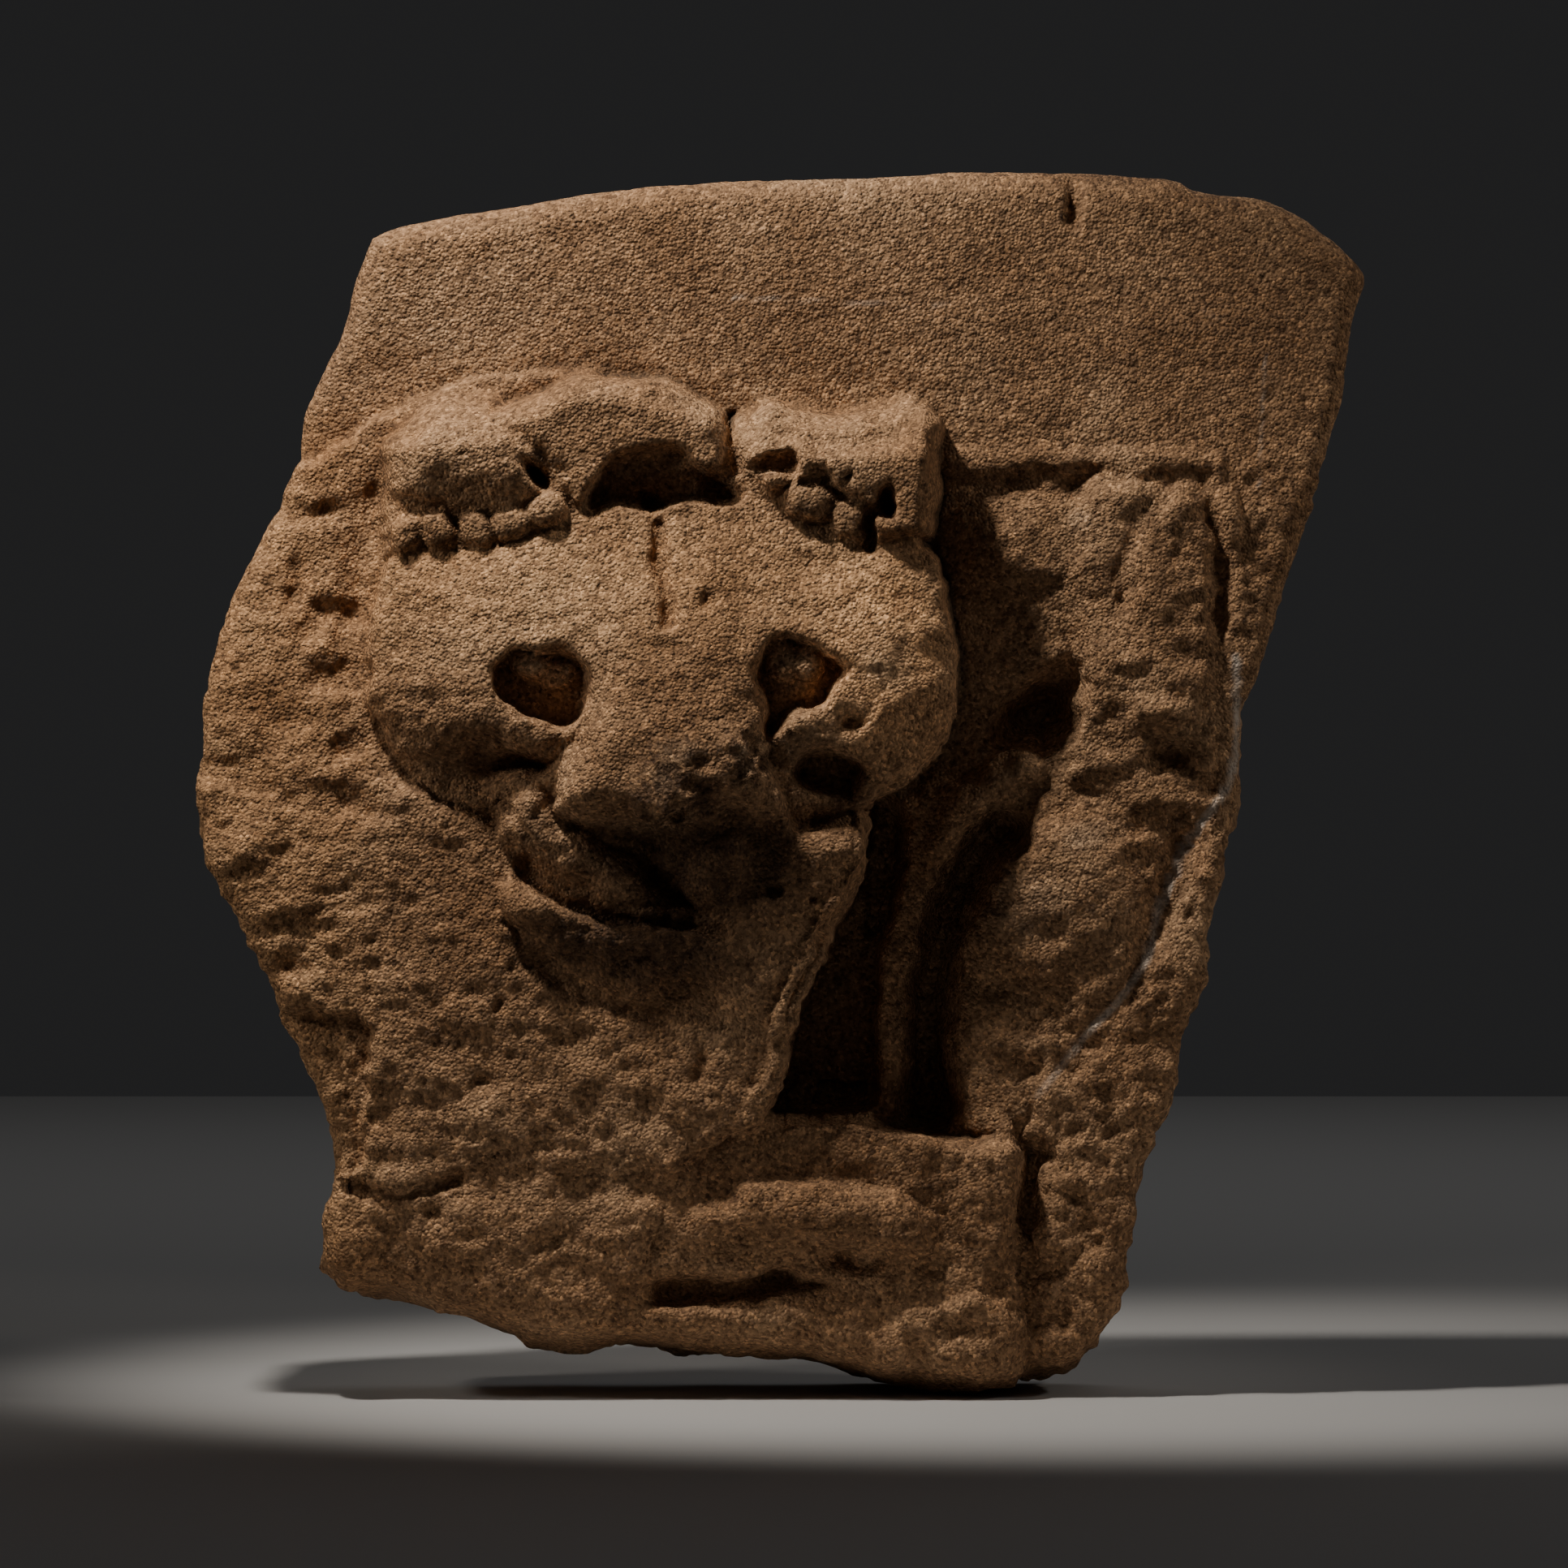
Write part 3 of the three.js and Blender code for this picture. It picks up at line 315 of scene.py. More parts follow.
# Scars on the broad ground and chips on the rim: place, half widths, turn and depth
SCAR_SPREAD = (1.4, 1.6)
SCAR_DEPTH = 1.1
SCAR_FLOOR = 0.05
SCAR_PLACES = [
    (-178, 107, 13, 5, 10, 3), (-193, 107, 6, 5, 40, 2.2), (-176, 68, 14, 5, -5, 3.4),
    (-163, 74, 7, 8, 30, 2.6), (-192, 78, 5, 12, -15, 2.2), (-178, 43, 11, 6, 30, 3),
    (-186, 60, 10, 5, 60, 2.2), (-172, 14, 9, 5, 25, 3), (-196, 22, 12, 6, 40, 2),
    (-165, -8, 16, 6, -12, 2.2), (-79, -157, 10, 8, 0, 3.6), (-55, -157, 8, 9, 10, 3.2),
    (-32, -112, 5, 10, 0, 3.2), (-136, -168, 6, 6, 0, 3), (-112, -87, 4, 4, 0, 2.2),
    (-50, -126, 7, 6, 0, 2.2), (-150, -60, 12, 5, -30, 1.6), (-120, -120, 10, 6, 20, 1.6),
    (-190, -70, 8, 5, -40, 2), (-160, -130, 9, 6, 30, 2), (-90, -180, 12, 5, 10, 2),
    (115, 228, 4.5, 9, 0, 3.5), (23, 231, 5, 4, 0, 2), (172, 226, 9, 4, -20, 2),
    (30, -186, 14, 5, 0, 4), (60, -176, 7, 7, 20, 3), (52, -222, 6, 7, 0, 4), (-20, -178, 10, 4, 10, 2),
    (-2, -193, 9, 5, 10, 4), (22, -187, 9, 6, -10, 5), (40, -208, 8, 5, 10, 3), (-30, -212, 7, 4, 0, 3),
    (8, -212, 8, 4, -10, 3), (70, -214, 9, 5, 15, 3), (60, -190, 8, 5, 20, 3), (84, -200, 5, 12, 0, 3),
    (118, -170, 8, 12, 20, 3), (108, -205, 7, 9, -10, 3), (128, -130, 9, 12, 25, 3),
]
SCARS = [
    step("pit", at=(x, z), size=(SCAR_SPREAD[0] * wide, SCAR_SPREAD[1] * tall), turn=turn,
        floor=SCAR_FLOOR, depth=SCAR_DEPTH * depth)
    for x, z, wide, tall, turn, depth in SCAR_PLACES
]

# Worn toes under the paws and the holes between them
TOES = [
    step("sink", outline=[(-157, 115), (-149, 114), (-140, 112), (-130, 109), (-122, 107.5),
        (-112, 107.5), (-103, 109.5), (-97, 113), (-89, 114), (-84, 108), (-88, 101), (-97, 96),
        (-109, 92.5), (-122, 90.5), (-136, 89.5), (-150, 90), (-158, 94), (-160, 105)], to=26.5,
        soft=(-1, 2)),
    step("dome", at=(-147.5, 98), size=(6.6, 8), squareness=2.5, foot=24, rise=6.5, flatness=3, join=1.5),
    step("dome", at=(-135.5, 98.5), size=(6.6, 8.2), squareness=3, foot=25, rise=7, flatness=3.4,
        join=1.5),
    step("dome", at=(-120.5, 99), size=(7.4, 8.2), squareness=2.8, foot=25, rise=6.5, flatness=3,
        join=1.5),
    step("dome", at=(-105.5, 102.5), size=(8.4, 6.8), turn=12, squareness=2.3, foot=25, rise=7.5,
        flatness=2.6, join=1.5),
    step("dome", at=(-92.5, 107), size=(8.5, 7), turn=20, squareness=2.4, foot=24, rise=9, flatness=2.8,
        join=3),
    step("pit", at=(-126, 129), size=(2, 1.8), floor=0.1, depth=2.5),
    step("pit", at=(-98, 122), size=(10, 3.6), turn=-38, floor=0.2, depth=6),
    step("sink", outline=[(-4, 116), (4, 119), (14, 120), (24, 115), (33, 109), (36, 101), (34, 93),
        (27, 92.5), (18, 96), (8, 100), (-2, 104), (-6, 110)], to=26, soft=(-1, 3)),
    step("dome", at=(9.5, 110), size=(10, 8), turn=-15, squareness=2.5, foot=25, rise=8, flatness=2.8,
        join=2),
    step("dome", at=(26, 103), size=(8.5, 10), turn=-10, squareness=2.5, foot=25, rise=6.5, flatness=2.8,
        join=2),
    step("pit", at=(2.5, 124), size=(4, 8), floor=0.2, depth=7),
    step("pit", at=(14, 121), size=(8, 4), turn=-25, floor=0.1, depth=4),
    step("pit", at=(24.5, 120.5), size=(2.4, 2.6), floor=0.2, depth=5),
    step("groove", path=[(36, 107), (34.5, 101), (33.5, 94)], width=3, depth=6, flat=0.5),
]

CARVING = FIELD + GROUND + PEDESTAL + HEAD + PAWS + PAW_HOLLOWS + TOES + CHANNEL + MARKS + SCARS

# Small measures that the tools share
FAR = 30
CURVE_STEPS = 3
SWELL = 0.58
FALL_OUTSIDE = 3
SKULL_EDGE = (1.02, 0.99)
TINY = 1e-9


def mix(a, b, share):
    return a + (b - a) * share


def smooth(low, high, value):
    t = np.clip((value - low) / (high - low), 0, 1)
    return t * t * (3 - 2 * t)


def higher(a, b, join):
    """The higher of two surfaces, blended over the join."""
    t = np.clip(0.5 + 0.5 * (a - b) / join, 0, 1)
    return mix(b, a, t) + join * t * (1 - t)


def read_off(pairs, z):
    """Value read off (z, value) pairs that is straight between them."""
    rows = sorted(pairs)
    return np.interp(z, [row[0] for row in rows], [row[1] for row in rows])


def smooth_line(points, closed, steps=CURVE_STEPS):
    """Smooth curve through points on the sheet."""
    p = np.array(points, float)
    if closed:
        p = np.vstack([p[-1:], p, p[:2]])
    else:
        p = np.vstack([2 * p[:1] - p[1:2], p, 2 * p[-1:] - p[-2:-1]])
    a, b, c, d = p[:-3, None], p[1:-2, None], p[2:-1, None], p[3:, None]
    t = (np.arange(steps) / steps)[None, :, None]
    spans = 0.5 * (2 * b + (c - a) * t + (2 * a - 5 * b + 4 * c - d) * t ** 2
                   + (3 * b - a - 3 * c + d) * t ** 3)
    return np.vstack([spans.reshape(-1, 2), p[-2]])


def distance_to_line(x, z, line):
    best = np.full(x.shape, np.inf)
    for (ax, az), (bx, bz) in zip(line[:-1], line[1:]):
        ex, ez = bx - ax, bz - az
        t = np.clip(((x - ax) * ex + (z - az) * ez) / (ex * ex + ez * ez + TINY), 0, 1)
        best = np.minimum(best, (x - ax - t * ex) ** 2 + (z - az - t * ez) ** 2)
    return np.sqrt(best)


def depth_inside(x, z, line):
    """How far a place lies inside a closed line, negative outside it."""
    inside = np.zeros(x.shape, bool)
    for (ax, az), (bx, bz) in zip(line[:-1], line[1:]):
        if az != bz:
            inside ^= ((az > z) != (bz > z)) & (x < ax + (z - az) / (bz - az) * (bx - ax))
    distance = distance_to_line(x, z, line)
    return np.where(inside, distance, -distance)


def oval_radius(x, z, at, size, turn=0, squareness=2, **_):
    """0 in the middle of a turned oval, 1 on its rim."""
    angle = math.radians(turn)
    dx, dz = x - at[0], z - at[1]
    u = (dx * math.cos(angle) + dz * math.sin(angle)) / size[0]
    v = (dz * math.cos(angle) - dx * math.sin(angle)) / size[1]
    return (np.abs(u) ** squareness + np.abs(v) ** squareness) ** (1 / squareness)


def cap(radius, flatness):
    """Rounded cap: 1 in the middle, 0 on the rim, falling on outside."""
    inner = np.sqrt(1 - np.minimum(radius, 1) ** flatness)
    return np.where(radius < 1, inner, -FALL_OUTSIDE * (radius - 1))


def level(x, z, height, soft, line, to=0, tos=None, lean=(0, 0), about=(0, 0), share=1, **_):
    plain = read_off(tos, z) if tos else to
    target = plain + lean[0] * (x - about[0]) + lean[1] * (z - about[1])
    return mix(height, target, share * smooth(soft[0], soft[1], depth_inside(x, z, line)))


def sink(x, z, height, to, soft, line, **_):
    return mix(height, np.minimum(height, to), smooth(soft[0], soft[1], depth_inside(x, z, line)))


def dip(x, z, height, depth, soft, line, **_):
    return height - depth * smooth(soft[0], soft[1], depth_inside(x, z, line))


def mound(x, z, height, foot, shoulder, join, line, rise=None, rises=None, **_):
    inside = depth_inside(x, z, line)
    top = read_off(rises, z) if rises else rise
    t = np.clip(inside / shoulder, 0, 1)
    swell = np.where(inside < 0, FALL_OUTSIDE * inside / shoulder, (1 - (1 - t) ** 2) ** SWELL)
    return higher(height, foot + top * swell, join)


def ridge(x, z, height, fall, join, line, top=None, tops=None, **_):
    crest = read_off(tops, z) if tops else top
    return higher(height, crest - fall * distance_to_line(x, z, line) ** 2, join)


def groove(x, z, height, width, depth, line, flat=0.5, **_):
    return height - depth * smooth(width, flat, distance_to_line(x, z, line))


def dome(x, z, height, foot, rise, flatness, join, **oval):
    return higher(height, foot + rise * cap(oval_radius(x, z, **oval), flatness), join)


def bump(x, z, height, rise, **oval):
    radius = np.minimum(oval_radius(x, z, **oval), 1)
    return height + rise * (1 - radius * radius) ** 2


def pit(x, z, height, depth, floor, **oval):
    return height - depth * smooth(1, floor, oval_radius(x, z, **oval))


def skull(x, z, height, at, width, above, below, squareness, foot, rises, flatness, **_):
    upper = oval_radius(x, z, at, (width, above), squareness=squareness[0])
    lower = oval_radius(x, z, at, (width, below), squareness=squareness[1])
    radius = np.where(z > at[1], upper, lower)
    target = foot + read_off(rises, z) * cap(radius, read_off(flatness, z))
    return mix(height, target, smooth(SKULL_EDGE[0], SKULL_EDGE[1], radius))


def floor(x, z, height, at, **_):
    return np.maximum(height, at)


TOOLS = dict(level=level, sink=sink, dip=dip, mound=mound, ridge=ridge, groove=groove, dome=dome, bump=bump,
             pit=pit, skull=skull, floor=floor)


def prepare(item):
    """The step with its smooth line and the box that it reaches."""
    points = item.get("outline") or item.get("path")
    if points:
        item["line"] = smooth_line(points, "outline" in item)
        item["box"] = (*(item["line"].min(0) - FAR), *(item["line"].max(0) + FAR))
    elif "size" in item:
        half = max(item["size"]) + FAR
        across, up = item["at"]
        item["box"] = (across - half, up - half, across + half, up + half)
    else:
        item["box"] = (-np.inf, -np.inf, np.inf, np.inf)
    return item


NOT_SIZES = ("tool", "box", "outline", "path")


def carve(x, z, height, steps):
    """Heights after the steps of the carving."""
    height = height.copy()
    for item in steps:
        x0, z0, x1, z1 = item["box"]
        near = (x > x0) & (x < x1) & (z > z0) & (z < z1)
        if near.any():
            sizes = {name: value for name, value in item.items() if name not in NOT_SIZES}
            height[near] = TOOLS[item["tool"]](x[near], z[near], height[near], **sizes)
    return height


STEPS = [prepare(item) for item in CARVING]

# Stone surface: smooth noise on a seeded lattice
LATTICE_SIDE = 64
LATTICE_OFFSET = 1000.37
LATTICE = np.random.default_rng(11).random((LATTICE_SIDE,) * 3) * 2 - 1


def noise(places, size):
    """Smooth noise from -1 to 1 with features of that size."""
    scaled = places / size + LATTICE_OFFSET
    base = np.floor(scaled).astype(int)
    part = scaled - base
    part = part * part * (3 - 2 * part)
    out = np.zeros(len(places))
    for corner in np.ndindex(2, 2, 2):
        weight = np.prod([part[:, a] if corner[a] else 1 - part[:, a] for a in range(3)], 0)
        out += weight * LATTICE[tuple((base[:, a] + corner[a]) % LATTICE_SIDE for a in range(3))]
    return out


def uneven(places, kind):
    """Noise of one kind: its height and its size."""
    return kind[0] * noise(places, kind[1])


# Wear of the carved edges: how far they wander and over what length, in millimetres
RAGGED = (1.5, 9)
FINE_RAGGED = (0.9, 4)
RAGGED_LEVEL = 500.0
RAGGED_SHIFT = 200


def ragged_carving(x, z):
    """Heights of the carving with its edges worn ragged."""
    places = np.column_stack([x, np.full(x.size, RAGGED_LEVEL), z])
    shift_x = uneven(places, RAGGED) + uneven(places, FINE_RAGGED)
    shift_z = uneven(places + RAGGED_SHIFT, RAGGED) + uneven(places + RAGGED_SHIFT, FINE_RAGGED)
    return carve(x + shift_x, z + shift_z, np.zeros(x.size), STEPS)


# Shape on the sheet: samples, rim and net
def sample_carving():
    """The carving sampled over the whole sheet."""
    columns = math.ceil(SHEET["width"] / SAMPLE_SPACING) + 3
    rows = math.ceil(SHEET["height"] / SAMPLE_SPACING) + 3
    xs = (np.arange(columns) - (columns - 1) / 2) * SAMPLE_SPACING
    zs = (np.arange(rows) - (rows - 1) / 2) * SAMPLE_SPACING
    x, z = np.meshgrid(xs, zs)
    return xs, zs, ragged_carving(x.ravel(), z.ravel()).reshape(x.shape)


def blurred(field, rounds):
    """Field averaged with its neighbours."""
    for _ in range(rounds):
        for axis in (0, 1):
            edge = [(1, 1) if a == axis else (0, 0) for a in (0, 1)]
            wide = np.pad(field, edge, mode="edge")
            low = np.take(wide, range(0, field.shape[axis]), axis)
            high = np.take(wide, range(2, field.shape[axis] + 2), axis)
            field = (low + 2 * field + high) / 4
    return field


def read_samples(xs, zs, field, x, z):
    """Value of a sampled field at any place."""
    u = np.clip((x - xs[0]) / SAMPLE_SPACING, 0, len(xs) - 1.001)
    v = np.clip((z - zs[0]) / SAMPLE_SPACING, 0, len(zs) - 1.001)
    column, row = u.astype(int), v.astype(int)
    s, t = u - column, v - row
    low = mix(field[row, column], field[row, column + 1], s)
    high = mix(field[row + 1, column], field[row + 1, column + 1], s)
    return mix(low, high, t)


def along(points, count):
    """Evenly spaced places along one side of the outline."""
    line = smooth_line(points, False, 24)
    run = np.concatenate([[0], np.cumsum(np.hypot(*np.diff(line, axis=0).T))])
    wanted = np.linspace(0, run[-1], count + 1)
    return np.column_stack([np.interp(wanted, run, line[:, 0]), np.interp(wanted, run, line[:, 1])])


def rim_places(count):
    """The rim clockwise from the top left, its inward direction and how far it is rounded or broken off."""
    sides = [along(OUTLINE["top"], count), along(OUTLINE["right"], count),
             along(OUTLINE["bottom"], count)[::-1], along(OUTLINE["left"], count)[::-1]]
    rim = np.vstack([side[:-1] for side in sides])
    reach = max(2, count // 32)
    tangent = np.roll(rim, -reach, 0) - np.roll(rim, reach, 0)
    tangent /= np.linalg.norm(tangent, axis=1, keepdims=True)
    inward = np.column_stack([tangent[:, 1], -tangent[:, 0]])
    t = (np.arange(len(rim)) - 2 * count) / count
    blend = BROKEN_FOOT_BLEND
    foot = smooth(-blend, blend, t) * smooth(1 + blend, 1 - blend, t)
    rounding = mix(EDGE_ROUNDING, TOP_EDGE_ROUNDING, smooth(TOP_EDGE_FROM, TOP_EDGE_FULL, rim[:, 1]))
    return rim, inward, mix(rounding, BROKEN_FOOT_RUN, foot), mix(rounding, BROKEN_FOOT_DROP, foot), foot


def span_net(stops, count):
    """Net of places inside the rim, spanned by its four sides."""
    side = [np.take(stops, range(k * count, (k + 1) * count + 1), 0, mode="wrap") for k in range(4)]
    top, right, bottom, left = side[0], side[1], side[2][::-1], side[3][::-1]
    u = np.linspace(0, 1, count + 1)[None, :, None]
    v = np.linspace(0, 1, count + 1)[:, None, None]
    return (mix(top[None], bottom[None], v) + mix(left[:, None], right[:, None], u)
            - mix(mix(top[0], top[-1], u), mix(bottom[0], bottom[-1], u), v))


STEEPNESS_PULL = 1.6
PULL_LIMIT = 3.5
SETTLING_PACE = 0.6


def settle(net, samples, rounds):
    """Moves the net's places towards steep carving, so that the facets follow its edges."""
    for _ in range(rounds):
        heights = read_samples(*samples, net[..., 0], net[..., 1])
        here, high = net[1:-1, 1:-1], heights[1:-1, 1:-1]
        total = np.zeros(high.shape)
        pulled = np.zeros(here.shape)
        for rows, columns in ((slice(0, -2), slice(1, -1)), (slice(2, None), slice(1, -1)),
                              (slice(1, -1), slice(0, -2)), (slice(1, -1), slice(2, None))):
            there = net[rows, columns]
            run = np.hypot(*(there - here).transpose(2, 0, 1)) + TINY
            weight = np.minimum(1 + STEEPNESS_PULL * np.abs(heights[rows, columns] - high) / run, PULL_LIMIT)
            total += weight
            pulled += weight[..., None] * there
        net[1:-1, 1:-1] = mix(here, pulled / total[..., None], SETTLING_PACE)
    return net


def finer(net, factor):
    """Net with each cell divided evenly."""
    count = (len(net) - 1) * factor
    old = np.arange(len(net)) * factor
    new = np.arange(count + 1)
    rows = np.stack([[np.interp(new, old, net[:, j, a]) for j in range(net.shape[1])] for a in (0, 1)], -1)
    return np.stack([[np.interp(new, old, rows[:, i, a]) for i in range(count + 1)] for a in (0, 1)], -1)


def roughness(x, z):
    """How coarse the surface is: smooth forehead and band, rough ground and figure."""
    rough = 0.6 + 0.6 * smooth(70, -30, z) + 0.5 * smooth(60, 100, x) * smooth(135, 120, z)
    rough += 0.2 * smooth(-160, -180, x) * smooth(150, 110, z) - 0.25 * smooth(150, 180, z)
    thigh = oval_radius(x, z, (112, -45), (34, 46), 20)
    return rough - 0.65 * smooth(1.1, 0.6, thigh)


# Unevenness of the surface: height and size of each kind in millimetres, drawn out along x
LONG_GRAIN = (0.6, 1, 1)
BROAD_LUMPS = (1.5, 24)
LUMPS = (1.4, 11)
BUMPS = (0.8, 5)
SMALL_BUMPS = (0.6, 3.2)
WORN_PITS = (0.4, 5)
FLAKES = (1.5, 3.4)
BROAD_FLAKES = (1.1, 6)
FLAKE_EDGES = (0.8, 5)
PIT_SHIFT = 300
FLAKE_SHIFT = 70
EDGE_SHIFT = 40

# Crust on the nose: place, half widths and turn
NOSE_CRUST = ((-44, -2), (15, 20), -20)
LIT_CRUST = ((-15, 10), (11, 11), 0)


def crust_share(x, z):
    """Where the grey crust lies on the nose."""
    return np.maximum(smooth(1.25, 0.6, oval_radius(x, z, *NOSE_CRUST)),
                      smooth(1.2, 0.6, oval_radius(x, z, *LIT_CRUST)))


def weathered(places, normals, x, z):
    """Stone lumps, bumps and grain along the surface's own direction."""
    drawn = places * LONG_GRAIN
    lumps = uneven(places, BROAD_LUMPS) + uneven(drawn, LUMPS)
    bumps = uneven(drawn, BUMPS) + uneven(places, SMALL_BUMPS)
    pits = -WORN_PITS[0] * smooth(0.4, 0.8, noise(places + PIT_SHIFT, WORN_PITS[1]))
    rough = (lumps + bumps + pits) * roughness(x, z)
    flakes = uneven(places, FLAKES) + uneven(places + FLAKE_SHIFT, BROAD_FLAKES)
    flakes += FLAKE_EDGES[0] * np.sign(noise(places + EDGE_SHIFT, FLAKE_EDGES[1]))
    return places + normals * (rough + crust_share(x, z) * flakes)[:, None]


# Colour of the stone by place: tint that multiplies the stone's own colour and carries painted light and
# painted shade, and pale filling
CRACK = [(178, 50), (178.5, 28), (177, 5), (172, -5), (160, -22), (148, -50), (142, -70), (130, -87),
         (122, -95), (110, -110), (100, -122)]
SCRATCHES = [[(-20, 192), (30, 189.5), (75, 188)], [(165, 186), (172, 184)], [(190, 175), (187, 117)]]
GREY_PATCHES = [((40, 50), (15, 20), 20), ((-41, 13), (12, 7), 0), ((-46, 2), (7, 8), 0),
                ((95, -48), (22, 22), 0), ((117, 104), (7, 6), 0), ((-15, 8), (5, 10), 0),
                ((120, -20), (20, 8), 10)]
# painted light on the right cheek: place, half widths and turn
LIT_CHEEK_PATCH = ((38, 42), (30, 48), 8)
# painted shadows under the toes, in the arch hollow, below the nose and over the chin: place, half widths
# and turn
PAINTED_SHADOWS = [((-124, 99), (36, 9), 5), ((22, 106), (32, 11), -15), ((-48, 117), (30, 12), 0),
        ((-52, -64), (56, 19), -6), ((-60, -62), (44, 16), -6), ((-22, -34), (34, 24), 0),
        ((-24, -30), (36, 27), 0), ((-58, -30), (30, 17), -25)]
# painted highlights on the eye lumps that sit in the shade of their sockets: place, half widths and turn
EYE_LUMP_HIGHLIGHTS = [((3, 46), (12, 11), 0), ((-95, 44), (15, 9), -8)]
DARK_CRUST = [((172, 231), (26, 7), -14), ((120, 240), (40, 4), 0), ((-50, -6), (12, 10), 0),
              ((-32, -4), (12, 12), 0)]
# painted highlight: lighter forehead, paw tops and left side where the light falls most
PAINTED_HIGHLIGHT = (1.22, 1.19, 1.12)
# painted shadow tone
PAINTED_SHADOW_TONE = (0.54, 0.52, 0.5)
# painted shade, warm brown, for recesses and low places
PAINTED_RECESS_SHADE = (0.74, 0.7, 0.66)
# painted light for the right cheek
PAINTED_CHEEK_LIGHT = (1.75, 1.72, 1.66)
# painted shade for the deepest creases
PAINTED_CREVICE_SHADE = (0.4, 0.44, 0.48)
# painted highlight for the eye lumps
PAINTED_EYE_LIGHT = (1.55, 1.7, 1.9)
SHADED = (0.88, 0.88, 0.88)
# painted shade for the deepest channels
PAINTED_DEEP_SHADE = (0.5, 0.45, 0.4)
GREY = (1.02, 1.14, 1.3)
CRUST = (0.55, 0.52, 0.5)


def stone_tint_and_painted_light(x, z, height, hollow):
    """Tint, with painted light and painted shade in it, and share of pale filling at each place."""
    places = np.column_stack([x, height, z])
    broken = 0.5 + 0.5 * noise(places, 7)
    tint = np.ones((len(x), 3))

    def lay(colour, share):
        tint[:] = tint * mix(1, np.array(colour), share[:, None])

    # painted highlight on the upward-facing forehead and on the paw tops
    top = np.exp(-((z - 80) / 32) ** 2) * smooth(75, 40, x) * smooth(-170, -150, x)
    paws = smooth(118, 128, z) * smooth(165, 155, z) * smooth(-160, -150, x) * smooth(65, 55, x)
    lay(PAINTED_HIGHLIGHT, np.maximum(top, 0.15 * paws))
    # painted light on the left side of the stone, nearest the lamp
    lay(PAINTED_HIGHLIGHT, smooth(-140, -190, x) * smooth(165, 120, z))
    lay(SHADED, smooth(145, 170, z))
    # painted shade in creases and sockets, darker the deeper the hollow
    lay(PAINTED_CREVICE_SHADE, smooth(4, 9, hollow))
    # painted light on the eye lumps, lighter than the shade round them
    for at, size, turn in EYE_LUMP_HIGHLIGHTS:
        lay(PAINTED_EYE_LIGHT, smooth(1.0, 0.6, oval_radius(x, z, at, size, turn)) * mix(0.4, 1, broken))
    # painted shadows where the paws and the nose cast shade
    for at, size, turn in PAINTED_SHADOWS:
        lay(PAINTED_SHADOW_TONE, smooth(1.15, 0.5, oval_radius(x, z, at, size, turn)) * mix(0.6, 1, broken))
    # painted light: the right cheek lighter, as if it faced the lamp more
    lay(PAINTED_CHEEK_LIGHT, smooth(1.2, 0.3, oval_radius(x, z, *LIT_CHEEK_PATCH)))
    # painted shade round the feet of raised forms and in low places
    lay(PAINTED_RECESS_SHADE, smooth(0.5, 3.5, hollow))
    lay(PAINTED_RECESS_SHADE, smooth(-8, -24, height))
    # painted shade in the deep channels
    lay(PAINTED_DEEP_SHADE, smooth(-14, -34, height))
    for at, size, turn in GREY_PATCHES:
        lay(GREY, smooth(1, 0.3, oval_radius(x, z, at, size, turn)) * mix(0.3, 1, broken))
    for at, size, turn in DARK_CRUST:
        lay(CRUST, smooth(1, 0.4, oval_radius(x, z, at, size, turn)) * smooth(0.35, 0.6, broken))
    fading = smooth(-122, -92, z)
    pale = smooth(2.1, 0.7, distance_to_line(x, z, smooth_line(CRACK, False))) * mix(0.25, 0.9, fading)
    pale *= mix(0.5, 1, broken)
    for path in SCRATCHES:
        scratch = smooth(0.9, 0.2, distance_to_line(x, z, smooth_line(path, False)))
        pale = np.maximum(pale, 0.4 * scratch * smooth(0.3, 0.7, broken))
    return tint, pale


def vertex_normals(points, triangles):
    a, b, c = (points[triangles[:, k]] for k in range(3))
    face = np.cross(b - a, c - a)
    out = np.zeros(points.shape)
    for k in range(3):
        np.add.at(out, triangles[:, k], face)
    return out / (np.linalg.norm(out, axis=1, keepdims=True) + TINY)


